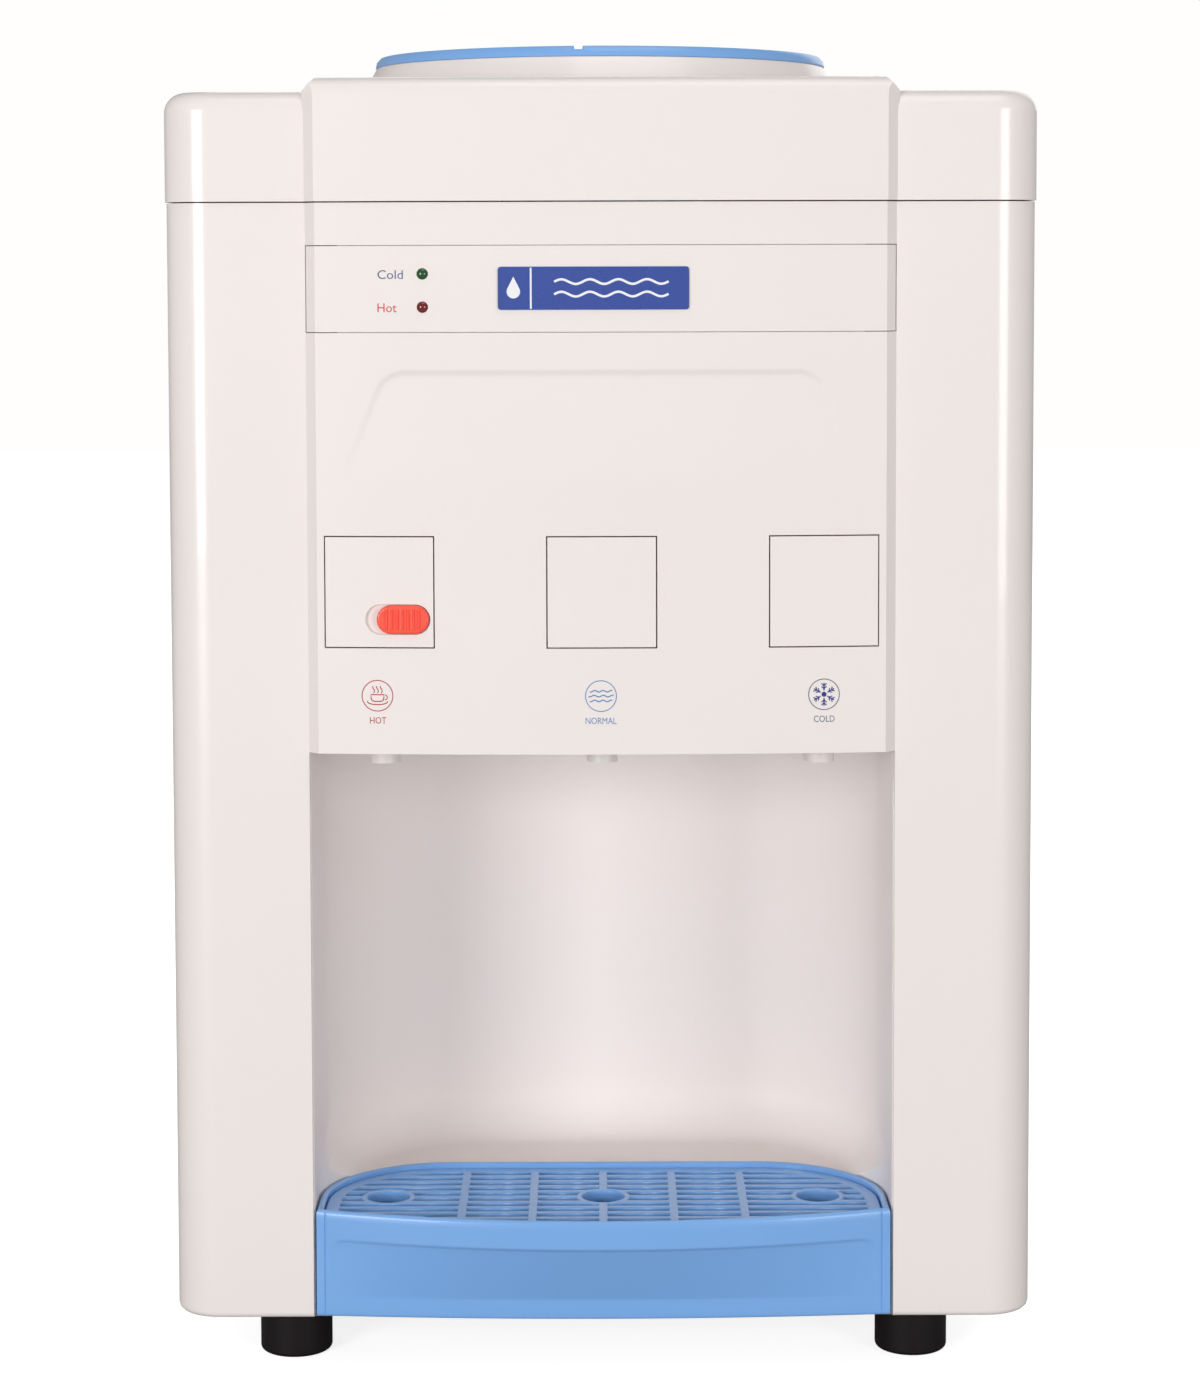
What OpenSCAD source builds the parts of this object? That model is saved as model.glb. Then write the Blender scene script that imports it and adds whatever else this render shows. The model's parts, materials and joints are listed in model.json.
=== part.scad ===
// Countertop hot, normal and cold water dispenser.
// Millimetres, +Z up, -Y to the front, +X to the right as seen from the front.
// The origin is on the counter, under the middle of the whole machine.

/* [Cabinet] */
// Width of the body over both side walls
cabinet_w = 340; // [336:1:346]
// Depth of the body from the wing faces to the rear panel
cabinet_d = 300; // [296:1:306]
// Height of the seam under the top cover
seam_z = 463.5; // [462:0.5:466]
// Height of the top cover over the wings
wing_top_z = 506; // [504:0.5:508]
// Radius of the vertical corners
corner_r = 18; // [14:1:22]
// Thickness of the moulded walls
wall = 2.5; // [2:0.1:2.8]
// Height of the feet
foot_h = 23; // [21:0.5:23.5]

/* [Centre panel] */
// Half width of the face that carries the buttons
panel_half = 110.5; // [109:0.5:112]
// How far the panel stands proud of the wings at its sides
panel_step = 4; // [3:0.5:5]
// How much further the panel bulges at its middle
panel_bulge = 4.6; // [3:0.2:6]
// Height of the panel's lower edge, which is the niche ceiling
panel_bottom_z = 249; // [248:0.5:250]
// Height of the centre pad over the wings on the top cover
pad_rise = 5.2; // [4:0.1:6]

/* [Niche] */
// Half width of the dispensing niche
niche_half = 114; // [113.5:0.5:115]
// Depth of the niche behind the wing faces
niche_depth = 125; // [118:1:126]
// Radius of the niche's upright back corners
niche_corner = 60; // [50:1:65]
// Radius of the cove between the niche's wall and floor
niche_cove = 20; // [12:1:25]
// Height of the niche floor
niche_floor_z = 64; // [63:0.5:65]

/* [Drip tray] */
// How far the tray's rim reaches ahead of the wings
tray_reach = 18.5; // [15:0.5:18.5]
// Depth of the tray behind the wing faces
tray_back = 68; // [66:1:70]
// Radius of the tray's back corners
tray_corner = 50; // [45:1:55]
// Height of the tray's rim over the counter
tray_top_z = 67; // [66:0.5:68]
// Distance from bar to bar on the grate
bar_pitch = 7.3; // [6.5:0.1:8]
// Width of one bar of the grate
bar_w = 2.8; // [2.2:0.1:3.4]
// Radius of the three splash holes
splash_hole_r = 8.6; // [7:0.1:9]

/* [Buttons and taps] */
// Distance between neighbouring taps
tap_pitch = 86.3; // [86:0.1:86.6]
// Width of a push button
button_w = 42; // [41:0.1:42.4]
// Height of a push button
button_h = 42.8; // [42:0.1:43]
// Height of the lower edge of the buttons
button_z = 290.9; // [290:0.1:292]
// Radius of a nozzle
nozzle_r = 6.1; // [5.5:0.1:6.3]
// Travel of the child lock
lock_travel = 4; // [3:0.5:4]

/* [Bottle seat] */
// Radius of the blue ring at its lower edge
ring_r = 96.3; // [95:0.1:97]
// Height of the top of the ring
ring_top_z = 526.5; // [525:0.5:528]
// Radius of the socket for the bottle's neck
neck_r = 28.5; // [28:0.1:29]

/* [Cooling] */
// Radius of the cold tank
tank_r = 68; // [66:0.5:68.5]
// Radius of the compressor's shell
compressor_r = 60; // [56:1:60]
// Number of runs of the condenser tube
condenser_runs = 11; // [7:2:11]

/* [Hidden] */
$fn = 64;

body_white = [0.93, 0.90, 0.88];
tray_blue = [0.49, 0.68, 0.92];
steel = [0.75, 0.76, 0.78];
copper = [0.80, 0.50, 0.32];
foam_white = [0.96, 0.96, 0.95];
rubber_black = [0.10, 0.10, 0.10];

condenser_stand = 14;
y_front = -(cabinet_d + condenser_stand - tray_reach) / 2;
y_rear = y_front + cabinet_d;
y_split = y_front + 62;
seam_gap = 0.5;
cap_grow = 0.6;
arc_fn = 720;

panel_r = (panel_half * panel_half + panel_bulge * panel_bulge) / (2 * panel_bulge);
panel_front_y = y_front - panel_step - panel_bulge;
strip_z0 = 413.1;
strip_z1 = 446.3;
strip_half = 114.1;
led_x = -68.8;
led_z = [435.5, 422.7];
led_r = 2.1;

tray_gap = 0.7;
tray_half = niche_half - tray_gap;
tray_z0 = 24.4;
tray_wall = 2.6;
tray_ledge_z = 61.9;
tray_lower_z = 32.5;
tray_upper_z = 56;
tray_upper_r = 370;
tray_lower_r = 1230;
tray_lower_reach = 6.8;
splash_y = y_front + 24.5;

liner_t = 2;
liner_y = y_front + wall + 0.1;
pan_t = 1.2;
pan_top_z = foot_h + pan_t;

tap_y = splash_y;
tap_xs = [-tap_pitch, 0, tap_pitch];
hinge_y = y_front + 6.4;
hinge_z = button_z + 37.1;
trunnion_r = 2;
button_gap = 0.5;
button_skin = 3;
lock_x = -77.1;
lock_y = panel_front_y + lock_x * lock_x / (2 * panel_r);
lock_z = 301.7;
lock_w = 20.4;
lock_h = 11.2;
lock_angle = -asin(-lock_x / panel_r);

stem_r = 2.5;
valve_z = 265;
bonnet_z = 299;
stem_head_z = hinge_z + 1.1;

seat_z = 522.3;
collar_z = 522.2;
collar_bore_r = 93.5;
lid_z = 437;
tank_z = 288;
shelf_z = 272;
shelf_t = 1.5;
outlet_z = 412;
baffle_z = 357;
foam_r = 88;

hot_x = -92;
hot_y = 62;
hot_z = 88;
hot_r = 40;
hot_h = 128;
comp_x = 78;
comp_y = 80;
comp_z = 40;
comp_h = 146;

cond_half = 128;
cond_z = 200;
cond_pitch = 22;
cond_tube_r = 2.4;
cond_wire_r = 0.8;
cond_y = y_rear + condenser_stand - cond_tube_r - 2 * cond_wire_r - 0.05;
switch_xs = [-112, -84];
switch_z = 130;
switch_y = y_rear - 1;
switch_tilt = 8;
gland_x = -20;
gland_z = 50;
drain_x = hot_x;
drain_z = 50;
screw_x = cabinet_w / 2 - 26;
screw_zs = [36, 180, 320, 450];
feet_x = 124.7;
feet_ys = [y_front + 34.5, y_rear - 36];

// ---- helpers -------------------------------------------------------------

// Rectangle with true round corners, centred
module rounded_rect(w, d, r) {
    square([w - 2 * r, d], center = true);
    square([w, d - 2 * r], center = true);
    for (sx = [-1, 1], sy = [-1, 1])
        translate([sx * (w / 2 - r), sy * (d / 2 - r)]) circle(r);
}

// Plan of the cabinet, grown by g
module cabinet_plan(g) {
    translate([0, y_front + cabinet_d / 2])
        rounded_rect(cabinet_w + 2 * g, cabinet_d + 2 * g, corner_r + g);
}

// Plan of the proud centre section, grown by g: bulged face and sloping sides
module panel_plan(g) {
    c = panel_half + panel_step + g * sqrt(2);
    intersection() {
        polygon([[-c - 20, y_front + 20], [-c + 20, y_front - 20], [c - 20, y_front - 20],
            [c + 20, y_front + 20]]);
        translate([0, panel_front_y + panel_r]) circle(r = panel_r + g, $fn = arc_fn);
    }
}

// Plan of cabinet and centre section together
module case_plan(g) {
    cabinet_plan(g);
    panel_plan(g);
}

// Skin that follows the centre panel's face, from depth a to depth b behind it
module panel_skin(a, b) {
    difference() {
        panel_plan(-a);
        panel_plan(-b);
    }
}

// Plan of the tray grown by g, long towards the front
module tray_plan(g) {
    l = 300;
    translate([0, y_front + tray_back + g - l / 2])
        rounded_rect(2 * (tray_half + g), l, tray_corner + g);
}

function arc(c, r, a0, a1, n) = [for (i = [0:n]) c + r * [cos(a0 + (a1 - a0) * i / n),
    sin(a0 + (a1 - a0) * i / n)]];

// Tray outline grown by g, with a bowed front of radius fr that reaches ahead of the wings
function tray_outline(g, fr, reach) = let (half = tray_half + g, back = y_front + tray_back + g,
    rb = tray_corner + g,
    rf = fr + g, a = asin(half / rf)) concat(
    arc([half - rb, back - rb], rb, 0, 90, 12),
    arc([rb - half, back - rb], rb, 90, 180, 12),
    arc([0, y_front - reach + fr], rf, 270 - a, 270 + a, 36));

module tray_plan_upper(g) polygon(tray_outline(g, tray_upper_r, tray_reach));

module tray_plan_lower(g) polygon(tray_outline(g, tray_lower_r, tray_lower_reach));

// Outline of a block with rounded top edges: half width, edge radius, height
module block_profile(half, f, h) {
    translate([-half, 0]) square([2 * half, h - f]);
    translate([-half + f, 0]) square([2 * half - 2 * f, h]);
    for (s = [-1, 1])
        translate([s * (half - f), h - f]) circle(f);
}

// Block with round upright corners of radius r and top edges rounded by f, centred on its plan
module soft_block(w, d, h, r, f) {
    cx = w / 2 - r;
    cy = d / 2 - r;
    for (sx = [-1, 1], sy = [-1, 1])
        translate([sx * cx, sy * cy, 0]) rotate_extrude() intersection() {
            block_profile(r, f, h);
            square([r, h]);
        }
    rotate([90, 0, 90]) linear_extrude(2 * cx, center = true) block_profile(d / 2, f, h);
    rotate([90, 0, 0]) linear_extrude(2 * cy, center = true) block_profile(w / 2, f, h);
}

// Room of the niche grown by g, with coves all round its floor
module niche_room(g) {
    top = panel_bottom_z + g;
    back = y_front + niche_depth + g;
    deep = 2 * niche_depth + 60;
    intersection() {
        translate([-cabinet_w / 2, liner_y, 0]) cube([cabinet_w, niche_depth + 20, top]);
        translate([0, back - deep / 2, top]) mirror([0, 0, 1])
            soft_block(2 * (niche_half + g), deep, top - niche_floor_z + g, niche_corner + g,
                niche_cove + g);
    }
}

// Round a Catmull-Rom path through points, n steps per span
function spline(p, n) = [for (i = [0:len(p) - 2], k = [0:n - 1])
    let (t = k / n, a = p[max(i - 1, 0)], b = p[i], c = p[i + 1], d = p[min(i + 2, len(p) - 1)])
    0.5 * (2 * b + (c - a) * t + (2 * a - 5 * b + 4 * c - d) * t * t + (3 * b - a - 3 * c + d) * t * t * t)];
function route(p, n) = concat(spline(p, n), [p[len(p) - 1]]);
function unit(v) = v / norm(v);
function slope(p, i) = unit(p[min(i + 1, len(p) - 1)] - p[max(i - 1, 0)]);
// Vector across the path at point i that stays as close as it can to the one before
function across(p, i, first) = i == 0 ? unit(first - (first * slope(p, 0)) * slope(p, 0))
    : let (u = across(p, i - 1, first), t = slope(p, i)) unit(u - (u * t) * t);
function frames(p, first) = [for (i = 0, u = across(p, 0, first); i < len(p);
    i = i + 1, u = i < len(p) ? unit(u - (u * slope(p, i)) * slope(p, i)) : u) u];

// Tube swept along a path; first is any vector that isn't along its start
module sweep(p, r, sides = 8, first = [0.3, 1, 0.2]) {
    us = frames(p, first);
    n = len(p);
    rings = [for (i = [0:n - 1], k = [0:sides - 1])
        let (w = cross(slope(p, i), us[i]), a = 360 * k / sides) p[i] + r * (cos(a) * us[i] + sin(a) * w)];
    quads = [for (i = [0:n - 2], k = [0:sides - 1])
        let (a = i * sides + k, b = i * sides + (k + 1) % sides) [a, a + sides, b + sides, b]];
    polyhedron(rings, concat([[for (k = [0:sides - 1]) k]], quads,
        [[for (k = [sides - 1:-1:0]) (n - 1) * sides + k]]), convexity = 10);
}

// Helix about +Z through the origin
function helix(r, z0, z1, turns, steps) = [for (i = [0:turns * steps])
    let (a = 360 * i / steps) [r * cos(a), r * sin(a), z0 + (z1 - z0) * i / (turns * steps)]];

// ---- cabinet -------------------------------------------------------------

module front_zone() {
    translate([-cabinet_w, y_front - 40]) square([2 * cabinet_w, y_split - y_front + 40]);
}

module button_openings() {
    for (x = tap_xs)
        translate([x - button_w / 2 - button_gap, 0, 0]) rotate([90, 0, 90])
            linear_extrude(button_w + 2 * button_gap)
                polygon([[panel_front_y - 1, button_z - button_gap],
                    [panel_front_y + 9, button_z - button_gap - 4],
                    [panel_front_y + 9, button_z + button_h + button_gap],
                    [panel_front_y - 1, button_z + button_h + button_gap]]);
}

// Shallow relief above the buttons that fades out downwards
module relief() {
    relief_z = 356;
    relief_h = 42;
    relief_d = 0.8;
    difference() {
        translate([0, 0, relief_z]) rotate([90, 0, 0]) translate([0, 0, -y_front]) linear_extrude(20)
            polygon([[-101, 0], [-86, 36.5], [-83.6, 40.4], [-79.5, relief_h], [79.5, relief_h],
                [83.6, 40.4], [86, 36.5], [101, 0]]);
        translate([0, panel_front_y + panel_r, relief_z]) rotate([-atan(relief_d / relief_h), 0, 0])
            translate([0, 0, -60]) cylinder(r = panel_r, h = 160, $fn = arc_fn);
    }
}

module front_shell() color(body_white) difference() {
    translate([0, 0, foot_h]) linear_extrude(seam_z - seam_gap - foot_h) intersection() {
        difference() {
            case_plan(0);
            case_plan(-wall);
        }
        front_zone();
    }
    translate([-niche_half, y_front - 40, 0]) cube([2 * niche_half, 60, panel_bottom_z]);
    translate([-niche_half - 12, y_front - 40, 0]) cube([2 * niche_half + 24, 39.99, panel_bottom_z]);
    translate([-strip_half - 0.3, y_front - 30, strip_z0 - 0.3])
        cube([2 * strip_half + 0.6, 30 + wall + 0.5, strip_z1 - strip_z0 + 0.6]);
    button_openings();
    relief();
}

module niche_liner() color(body_white) difference() {
    union() {
        niche_room(liner_t);
        translate([0, 0, panel_bottom_z]) linear_extrude(liner_t) intersection() {
            panel_plan(-wall - 0.1);
            translate([-niche_half, y_front - 20]) square([2 * niche_half, 60]);
        }
        translate([0, 0, pan_top_z]) linear_extrude(niche_floor_z + niche_cove - pan_top_z) intersection() {
            tray_plan(tray_gap + liner_t);
            translate([-cabinet_w / 2, liner_y]) square([cabinet_w, 200]);
        }
    }
    niche_room(0);
    translate([0, 0, pan_top_z - 1]) linear_extrude(niche_floor_z + niche_cove - pan_top_z + 1)
        tray_plan(tray_gap);
    for (x = tap_xs)
        translate([x, tap_y, panel_bottom_z - 5]) cylinder(r = nozzle_r + 0.5, h = 20);
}

module side_panel() color(body_white) difference() {
    translate([0, 0, foot_h]) linear_extrude(seam_z - seam_gap - foot_h) intersection() {
        difference() {
            cabinet_plan(0);
            cabinet_plan(-1.5);
        }
        translate([cabinet_w / 2 - corner_r, y_split + 0.4]) square([corner_r + 1, cabinet_d]);
    }
    for (i = [0:8])
        translate([cabinet_w / 2 - 5, y_rear - 100, 60 + i * 9]) cube([10, 62, 3.5]);
}

module left_side_panel() mirror([1, 0, 0]) side_panel();

module right_side_panel() side_panel();

module rear_panel() color(steel) {
    half = cabinet_w / 2 - corner_r - 0.4;
    difference() {
        translate([-half, y_rear - pan_t, pan_top_z])
            cube([2 * half, pan_t, seam_z - seam_gap - pan_top_z]);
        for (i = [0:9], j = [0:1])
            translate([20 + j * 62, y_rear - 5, 62 + i * 11]) cube([52, 10, 4]);
        for (x = switch_xs)
            translate([x - 6.6, y_rear - 5, switch_z - 9.6]) cube([13.2, 10, 19.2]);
        translate([gland_x, y_rear - 5, gland_z]) rotate([-90, 0, 0]) cylinder(r = 8.1, h = 10);
        translate([drain_x, y_rear - 5, drain_z]) rotate([-90, 0, 0]) cylinder(r = 8.3, h = 10);
        for (x = [-cond_half, cond_half])
            translate([x, y_rear - 5, cond_z - 14]) rotate([-90, 0, 0]) cylinder(r = 4, h = 10);
        for (s = [-1, 1], z = screw_zs)
            translate([s * screw_x, y_rear - 5, z]) rotate([-90, 0, 0]) cylinder(r = 1.8, h = 10);
    }
    for (s = [-1, 1], z = [cond_z - 6, cond_z + (condenser_runs - 1) * cond_pitch + 6])
        translate([s * 60 - 6, y_rear, z - 4]) cube([12, condenser_stand - 2 * cond_tube_r - 4 * cond_wire_r - 0.15, 8]);
}

// Raised centre pad with 45 degree edges, which runs from the panel's face to the rear
module cover_pad() {
    c = panel_half + panel_step + cap_grow * sqrt(2);
    z0 = wing_top_z - 10;
    y1 = y_rear + cap_grow - 4;
    intersection() {
        translate([0, y1 + 1, 0]) rotate([90, 0, 0]) linear_extrude(cabinet_d + 40)
            polygon([[-c, z0], [c, z0], [c, wing_top_z], [c - pad_rise, wing_top_z + pad_rise],
                [pad_rise - c, wing_top_z + pad_rise], [-c, wing_top_z]]);
        rotate([90, 0, 90]) translate([0, 0, -c - 1]) linear_extrude(2 * c + 2)
            polygon([[y_front - 30, z0], [y1, z0], [y1, wing_top_z], [y1 - pad_rise, wing_top_z + pad_rise],
                [y_front - 30, wing_top_z + pad_rise]]);
        translate([0, 0, z0]) linear_extrude(20)
            polygon([[-c, y1 + 1], [-c, y_front], [-c + 20, y_front - 20], [c - 20, y_front - 20],
                [c, y_front],
                [c, y1 + 1]]);
        translate([0, panel_front_y + panel_r, z0]) rotate_extrude($fn = arc_fn) intersection() {
            block_profile(panel_r + cap_grow, 7, 10 + pad_rise);
            square([panel_r + cap_grow, 10 + pad_rise]);
        }
    }
}

module top_cover() color(body_white) {
    pad_z = wing_top_z + pad_rise;
    difference() {
        union() {
            translate([0, y_front + cabinet_d / 2, seam_z])
                soft_block(cabinet_w + 2 * cap_grow, cabinet_d + 2 * cap_grow, wing_top_z - seam_z,
                    corner_r + cap_grow, 8);
            translate([0, 0, seam_z]) linear_extrude(wing_top_z - 9 - seam_z) panel_plan(cap_grow);
            cover_pad();
            translate([0, 0, pad_z - 1]) cylinder(r1 = 102.6, r2 = ring_r - 0.5, h = collar_z - pad_z + 1);
        }
        translate([0, 0, seam_z - 1]) linear_extrude(wing_top_z - 3 - seam_z + 1) case_plan(-wall);
        translate([0, 0, seam_z - 1]) cylinder(r = collar_bore_r, h = 80);
    }
}

module base_pan() color(steel) difference() {
    union() {
        translate([0, 0, foot_h]) linear_extrude(pan_t) intersection() {
            cabinet_plan(-wall - 0.4);
            translate([-cabinet_w / 2, y_front + wall + 0.5])
                square([cabinet_w, cabinet_d - wall - 0.5 - pan_t - 0.3]);
        }
        for (s = [-1, 1])
            translate([s * (cabinet_w / 2 - wall - 1) - 0.6, y_front + 40, pan_top_z]) cube([1.2, 200, 16]);
    }
    for (sx = [-1, 1], sy = [-1, 1])
        translate([sx * feet_x, sy < 0 ? feet_ys[0] : feet_ys[1], 0]) cylinder(r = 2.7, h = 60);
    for (i = [0:5])
        translate([0, -50 + i * 12, 0]) cube([50, 5, 60]);
}

module at_feet() {
    for (sx = [-1, 1], y = feet_ys)
        translate([sx * feet_x, y, 0]) children();
}

module feet() color(rubber_black) at_feet() difference() {
    rotate_extrude() {
        translate([0, 2]) square([14.5, foot_h - 2]);
        square([12.5, 3]);
        translate([12.5, 2]) circle(2);
    }
    translate([0, 0, -1]) cylinder(r = 6, h = 9);
    translate([0, 0, -1]) cylinder(r = 2.6, h = foot_h + 2);
}

module foot_screws() color(steel) at_feet() {
    translate([0, 0, 5]) cylinder(r = 4.5, h = 3);
    translate([0, 0, 5]) cylinder(r = 2.4, h = pan_top_z + 6 - 5);
    translate([0, 0, pan_top_z + 0.02]) cylinder(r = 4.6, h = 4, $fn = 6);
}

module panel_screws() color(steel)
    for (s = [-1, 1], z = screw_zs)
        translate([s * screw_x, y_rear, z]) rotate([-90, 0, 0]) {
            difference() {
                cylinder(r1 = 3.6, r2 = 2.6, h = 1.8);
                for (a = [0, 90])
                    rotate([0, 0, a]) translate([-2, -0.4, 0.9]) cube([4, 0.8, 2]);
            }
            translate([0, 0, -9]) cylinder(r = 1.7, h = 9.5);
        }

// ---- display -------------------------------------------------------------

module display_strip() color(body_white) difference() {
    union() {
        intersection() {
            translate([0, 0, strip_z0]) linear_extrude(strip_z1 - strip_z0) panel_skin(0, wall);
            translate([-strip_half, y_front - 30, 0]) cube([2 * strip_half, 32, 600]);
        }
        intersection() {
            translate([0, 0, strip_z0 - 3]) linear_extrude(strip_z1 - strip_z0 + 6)
                panel_skin(wall, wall + 1.6);
            translate([-102, y_front - 30, 0]) cube([204, 32, 600]);
        }
    }
    for (z = led_z)
        translate([led_x, y_front, z]) rotate([90, 0, 0]) cylinder(r = led_r + 0.1, h = 30);
}

module badge_plate() color([0.13, 0.20, 0.52]) intersection() {
    linear_extrude(600) panel_skin(-0.8, 0);
    translate([-39.7, y_front, 421.6]) rotate([90, 0, 0]) linear_extrude(30)
        translate([36.8, 8.3]) rounded_rect(73.6, 16.6, 1.2);
}

module indicator_board() color([0.10, 0.38, 0.20]) {
    translate([led_x - 25, y_front + 2, led_z[1] - 8]) cube([50, 1.6, 30]);
    for (sx = [-1, 1])
        translate([led_x + sx * 20, y_front + 2, led_z[1] + 7]) rotate([90, 0, 0])
            cylinder(r = 2.5, h = 2.3);
}

// LED behind the strip, its dome just through the face
module led(z) {
    face = panel_front_y + led_x * led_x / (2 * panel_r);
    translate([led_x, y_front + 2, z]) rotate([90, 0, 0]) {
        cylinder(r = 2.9, h = 1);
        cylinder(r = led_r, h = y_front + 2 - face);
    }
    translate([led_x, face, z]) intersection() {
        translate([0, 1.6, 0]) sphere(r = 2.7);
        translate([0, 0.5, 0]) rotate([90, 0, 0]) cylinder(r = led_r, h = 3.5);
    }
}

module cold_led() color([0.15, 0.45, 0.15]) led(led_z[0]);

module hot_led() color([0.65, 0.10, 0.08]) led(led_z[1]);

// ---- buttons and taps ----------------------------------------------------

module button_carrier() color([0.85, 0.85, 0.84]) {
    rail_z = hinge_z + 6.5;
    difference() {
        union() {
            translate([-tap_pitch - 27, hinge_y - 3.5, rail_z]) cube([2 * tap_pitch + 54, 11.5, 2.5]);
            for (x = tap_xs, s = [-1, 1])
                translate([x + s * 23.9 - 1.5, hinge_y - 3.5, hinge_z - 4.5]) cube([3, 8, 11.1]);
            for (s = [-1, 1])
                translate([s * tap_pitch / 2 - 5, panel_front_y + wall + 1.2, rail_z]) cube([10, 10, 2.5]);
        }
        for (x = tap_xs)
            translate([x - 30, hinge_y, hinge_z]) rotate([0, 90, 0])
                cylinder(r = trunnion_r + 0.05, h = 60);
    }
}

// Push button: face, side webs, hinge barrel with trunnions, and the fork that lifts the stem
module push_button(x) {
    lever_z = hinge_z - 2.2;
    difference() {
        union() {
            translate([0, 0, button_z]) linear_extrude(button_h) intersection() {
                panel_skin(0, button_skin);
                translate([x - button_w / 2, y_front - 30]) square([button_w, 40]);
            }
            for (s = [-1, 1])
                let (xw = x + s * 18, yw = panel_front_y + xw * xw / (2 * panel_r) + 1.5)
                    translate([xw - 1, yw, hinge_z - 6]) cube([2, hinge_y + 2 - yw, 9]);
            translate([x - 21.5, hinge_y, hinge_z]) rotate([0, 90, 0]) cylinder(r = 3.5, h = 43);
            translate([x - 25.8, hinge_y, hinge_z]) rotate([0, 90, 0]) cylinder(r = trunnion_r, h = 51.6);
            translate([x - 7, hinge_y, lever_z]) cube([14, tap_y + 2 - hinge_y, 2.7]);
        }
        translate([x - 3.1, tap_y - 4, lever_z - 1]) cube([6.2, 20, 6]);
    }
}

module hot_button() color(body_white) difference() {
    push_button(-tap_pitch);
    translate([lock_x, lock_y, lock_z]) rotate([0, 0, lock_angle]) {
        translate([-lock_travel / 2 - 0.1, 1.7, 0]) rotate([90, 0, 0]) linear_extrude(20)
            rounded_rect(lock_w + lock_travel + 0.8, lock_h + 0.6, lock_h / 2 + 0.29);
        translate([-lock_travel - 3.4, -10, -2.9]) cube([lock_travel + 6.8, 30, 5.8]);
    }
}

module normal_button() color(body_white) push_button(0);

module cold_button() color(body_white) push_button(tap_pitch);

module child_lock() color([1.0, 0.30, 0.22])
    translate([lock_x, lock_y, lock_z]) rotate([0, 0, lock_angle]) {
        translate([0, 1.4, 0]) rotate([90, 0, 0]) linear_extrude(3)
            rounded_rect(lock_w, lock_h, lock_h / 2 - 0.01);
        for (i = [-3:3])
            translate([i * 2.1 - 0.4, -2.2, -3.9]) cube([0.8, 0.7, 7.8]);
        translate([-3, 1.3, -2.5]) cube([6, 3, 5]);
        translate([-5.5, 3.7, -4]) cube([11, 1.2, 8]);
    }

// Tap: flanged body on the niche ceiling, nozzle down, hose barb to one side
module tap_body(x, side) {
    flange_z = panel_bottom_z + liner_t;
    translate([x, tap_y, 0]) difference() {
        union() {
            translate([0, 0, 241.5]) cylinder(r = nozzle_r, h = 30);
            translate([0, 0, flange_z]) cylinder(r = 14, h = 3);
            translate([0, 0, flange_z]) cylinder(r = 11, h = bonnet_z - flange_z);
            translate([0, 0, valve_z + 4]) rotate([0, side * 90, 0]) cylinder(r = 3.5, h = 22);
            translate([0, 0, valve_z + 4]) rotate([0, side * 90, 0]) translate([0, 0, 14])
                cylinder(r1 = 4.6, r2 = 3.6, h = 4);
        }
        translate([0, 0, 230]) cylinder(r = 4, h = 60);
        translate([0, 0, valve_z]) cylinder(r = 8, h = 60);
        translate([0, 0, valve_z + 4]) rotate([0, side * 90, 0]) cylinder(r = 2.2, h = 30);
    }
}

module hot_tap_body() color([0.90, 0.88, 0.86]) tap_body(-tap_pitch, 1);

module normal_tap_body() color([0.90, 0.88, 0.86]) tap_body(0, -1);

module cold_tap_body() color([0.90, 0.88, 0.86]) tap_body(tap_pitch, -1);

module tap_bonnets() color([0.90, 0.88, 0.86])
    for (x = tap_xs)
        translate([x, tap_y, bonnet_z]) difference() {
            union() {
                cylinder(r = 12, h = 5, $fn = 12);
                translate([0, 0, -3]) cylinder(r = 7.9, h = 4);
            }
            translate([0, 0, -5]) cylinder(r = stem_r + 0.05, h = 20);
        }

// Stem with its overmoulded valve plug and the head that the fork lifts
module stem(x) {
    translate([x, tap_y, 0]) {
        translate([0, 0, valve_z + 0.05]) cylinder(r1 = 5.4, r2 = 6.6, h = 3);
        translate([0, 0, valve_z + 3]) cylinder(r = 6.6, h = 2);
        translate([0, 0, valve_z + 1]) cylinder(r = stem_r, h = stem_head_z - valve_z);
        translate([0, 0, stem_head_z]) cylinder(r = 6, h = 2.5);
    }
}

module hot_stem() color([0.85, 0.25, 0.20]) stem(-tap_pitch);

module normal_stem() color([0.85, 0.85, 0.85]) stem(0);

module cold_stem() color([0.25, 0.45, 0.80]) stem(tap_pitch);

module tap_spring(x) {
    translate([x, tap_y, 0]) sweep(helix(5, valve_z + 5.6, bonnet_z - 3.6, 6, 12), 0.45, 6, [1, 0, 0.1]);
}

module hot_spring() color(steel) tap_spring(-tap_pitch);

module normal_spring() color(steel) tap_spring(0);

module cold_spring() color(steel) tap_spring(tap_pitch);

// ---- drip tray -----------------------------------------------------------

module drip_tray() color(tray_blue) difference() {
    union() {
        translate([0, 0, tray_upper_z]) linear_extrude(tray_top_z - tray_upper_z) tray_plan_upper(0);
        hull() {
            translate([0, 0, tray_upper_z]) linear_extrude(0.1) tray_plan_upper(0);
            translate([0, 0, tray_lower_z]) linear_extrude(0.1) tray_plan_lower(0);
        }
        translate([0, 0, tray_z0]) linear_extrude(tray_lower_z - tray_z0 + 0.1) tray_plan_lower(0);
    }
    translate([0, 0, tray_z0 + tray_wall]) linear_extrude(60) tray_plan_lower(-tray_wall - 2.4);
    translate([0, 0, tray_ledge_z]) linear_extrude(20) tray_plan_upper(-tray_wall);
}

module splash_places() {
    for (x = tap_xs)
        translate([x, splash_y]) children();
}

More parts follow.
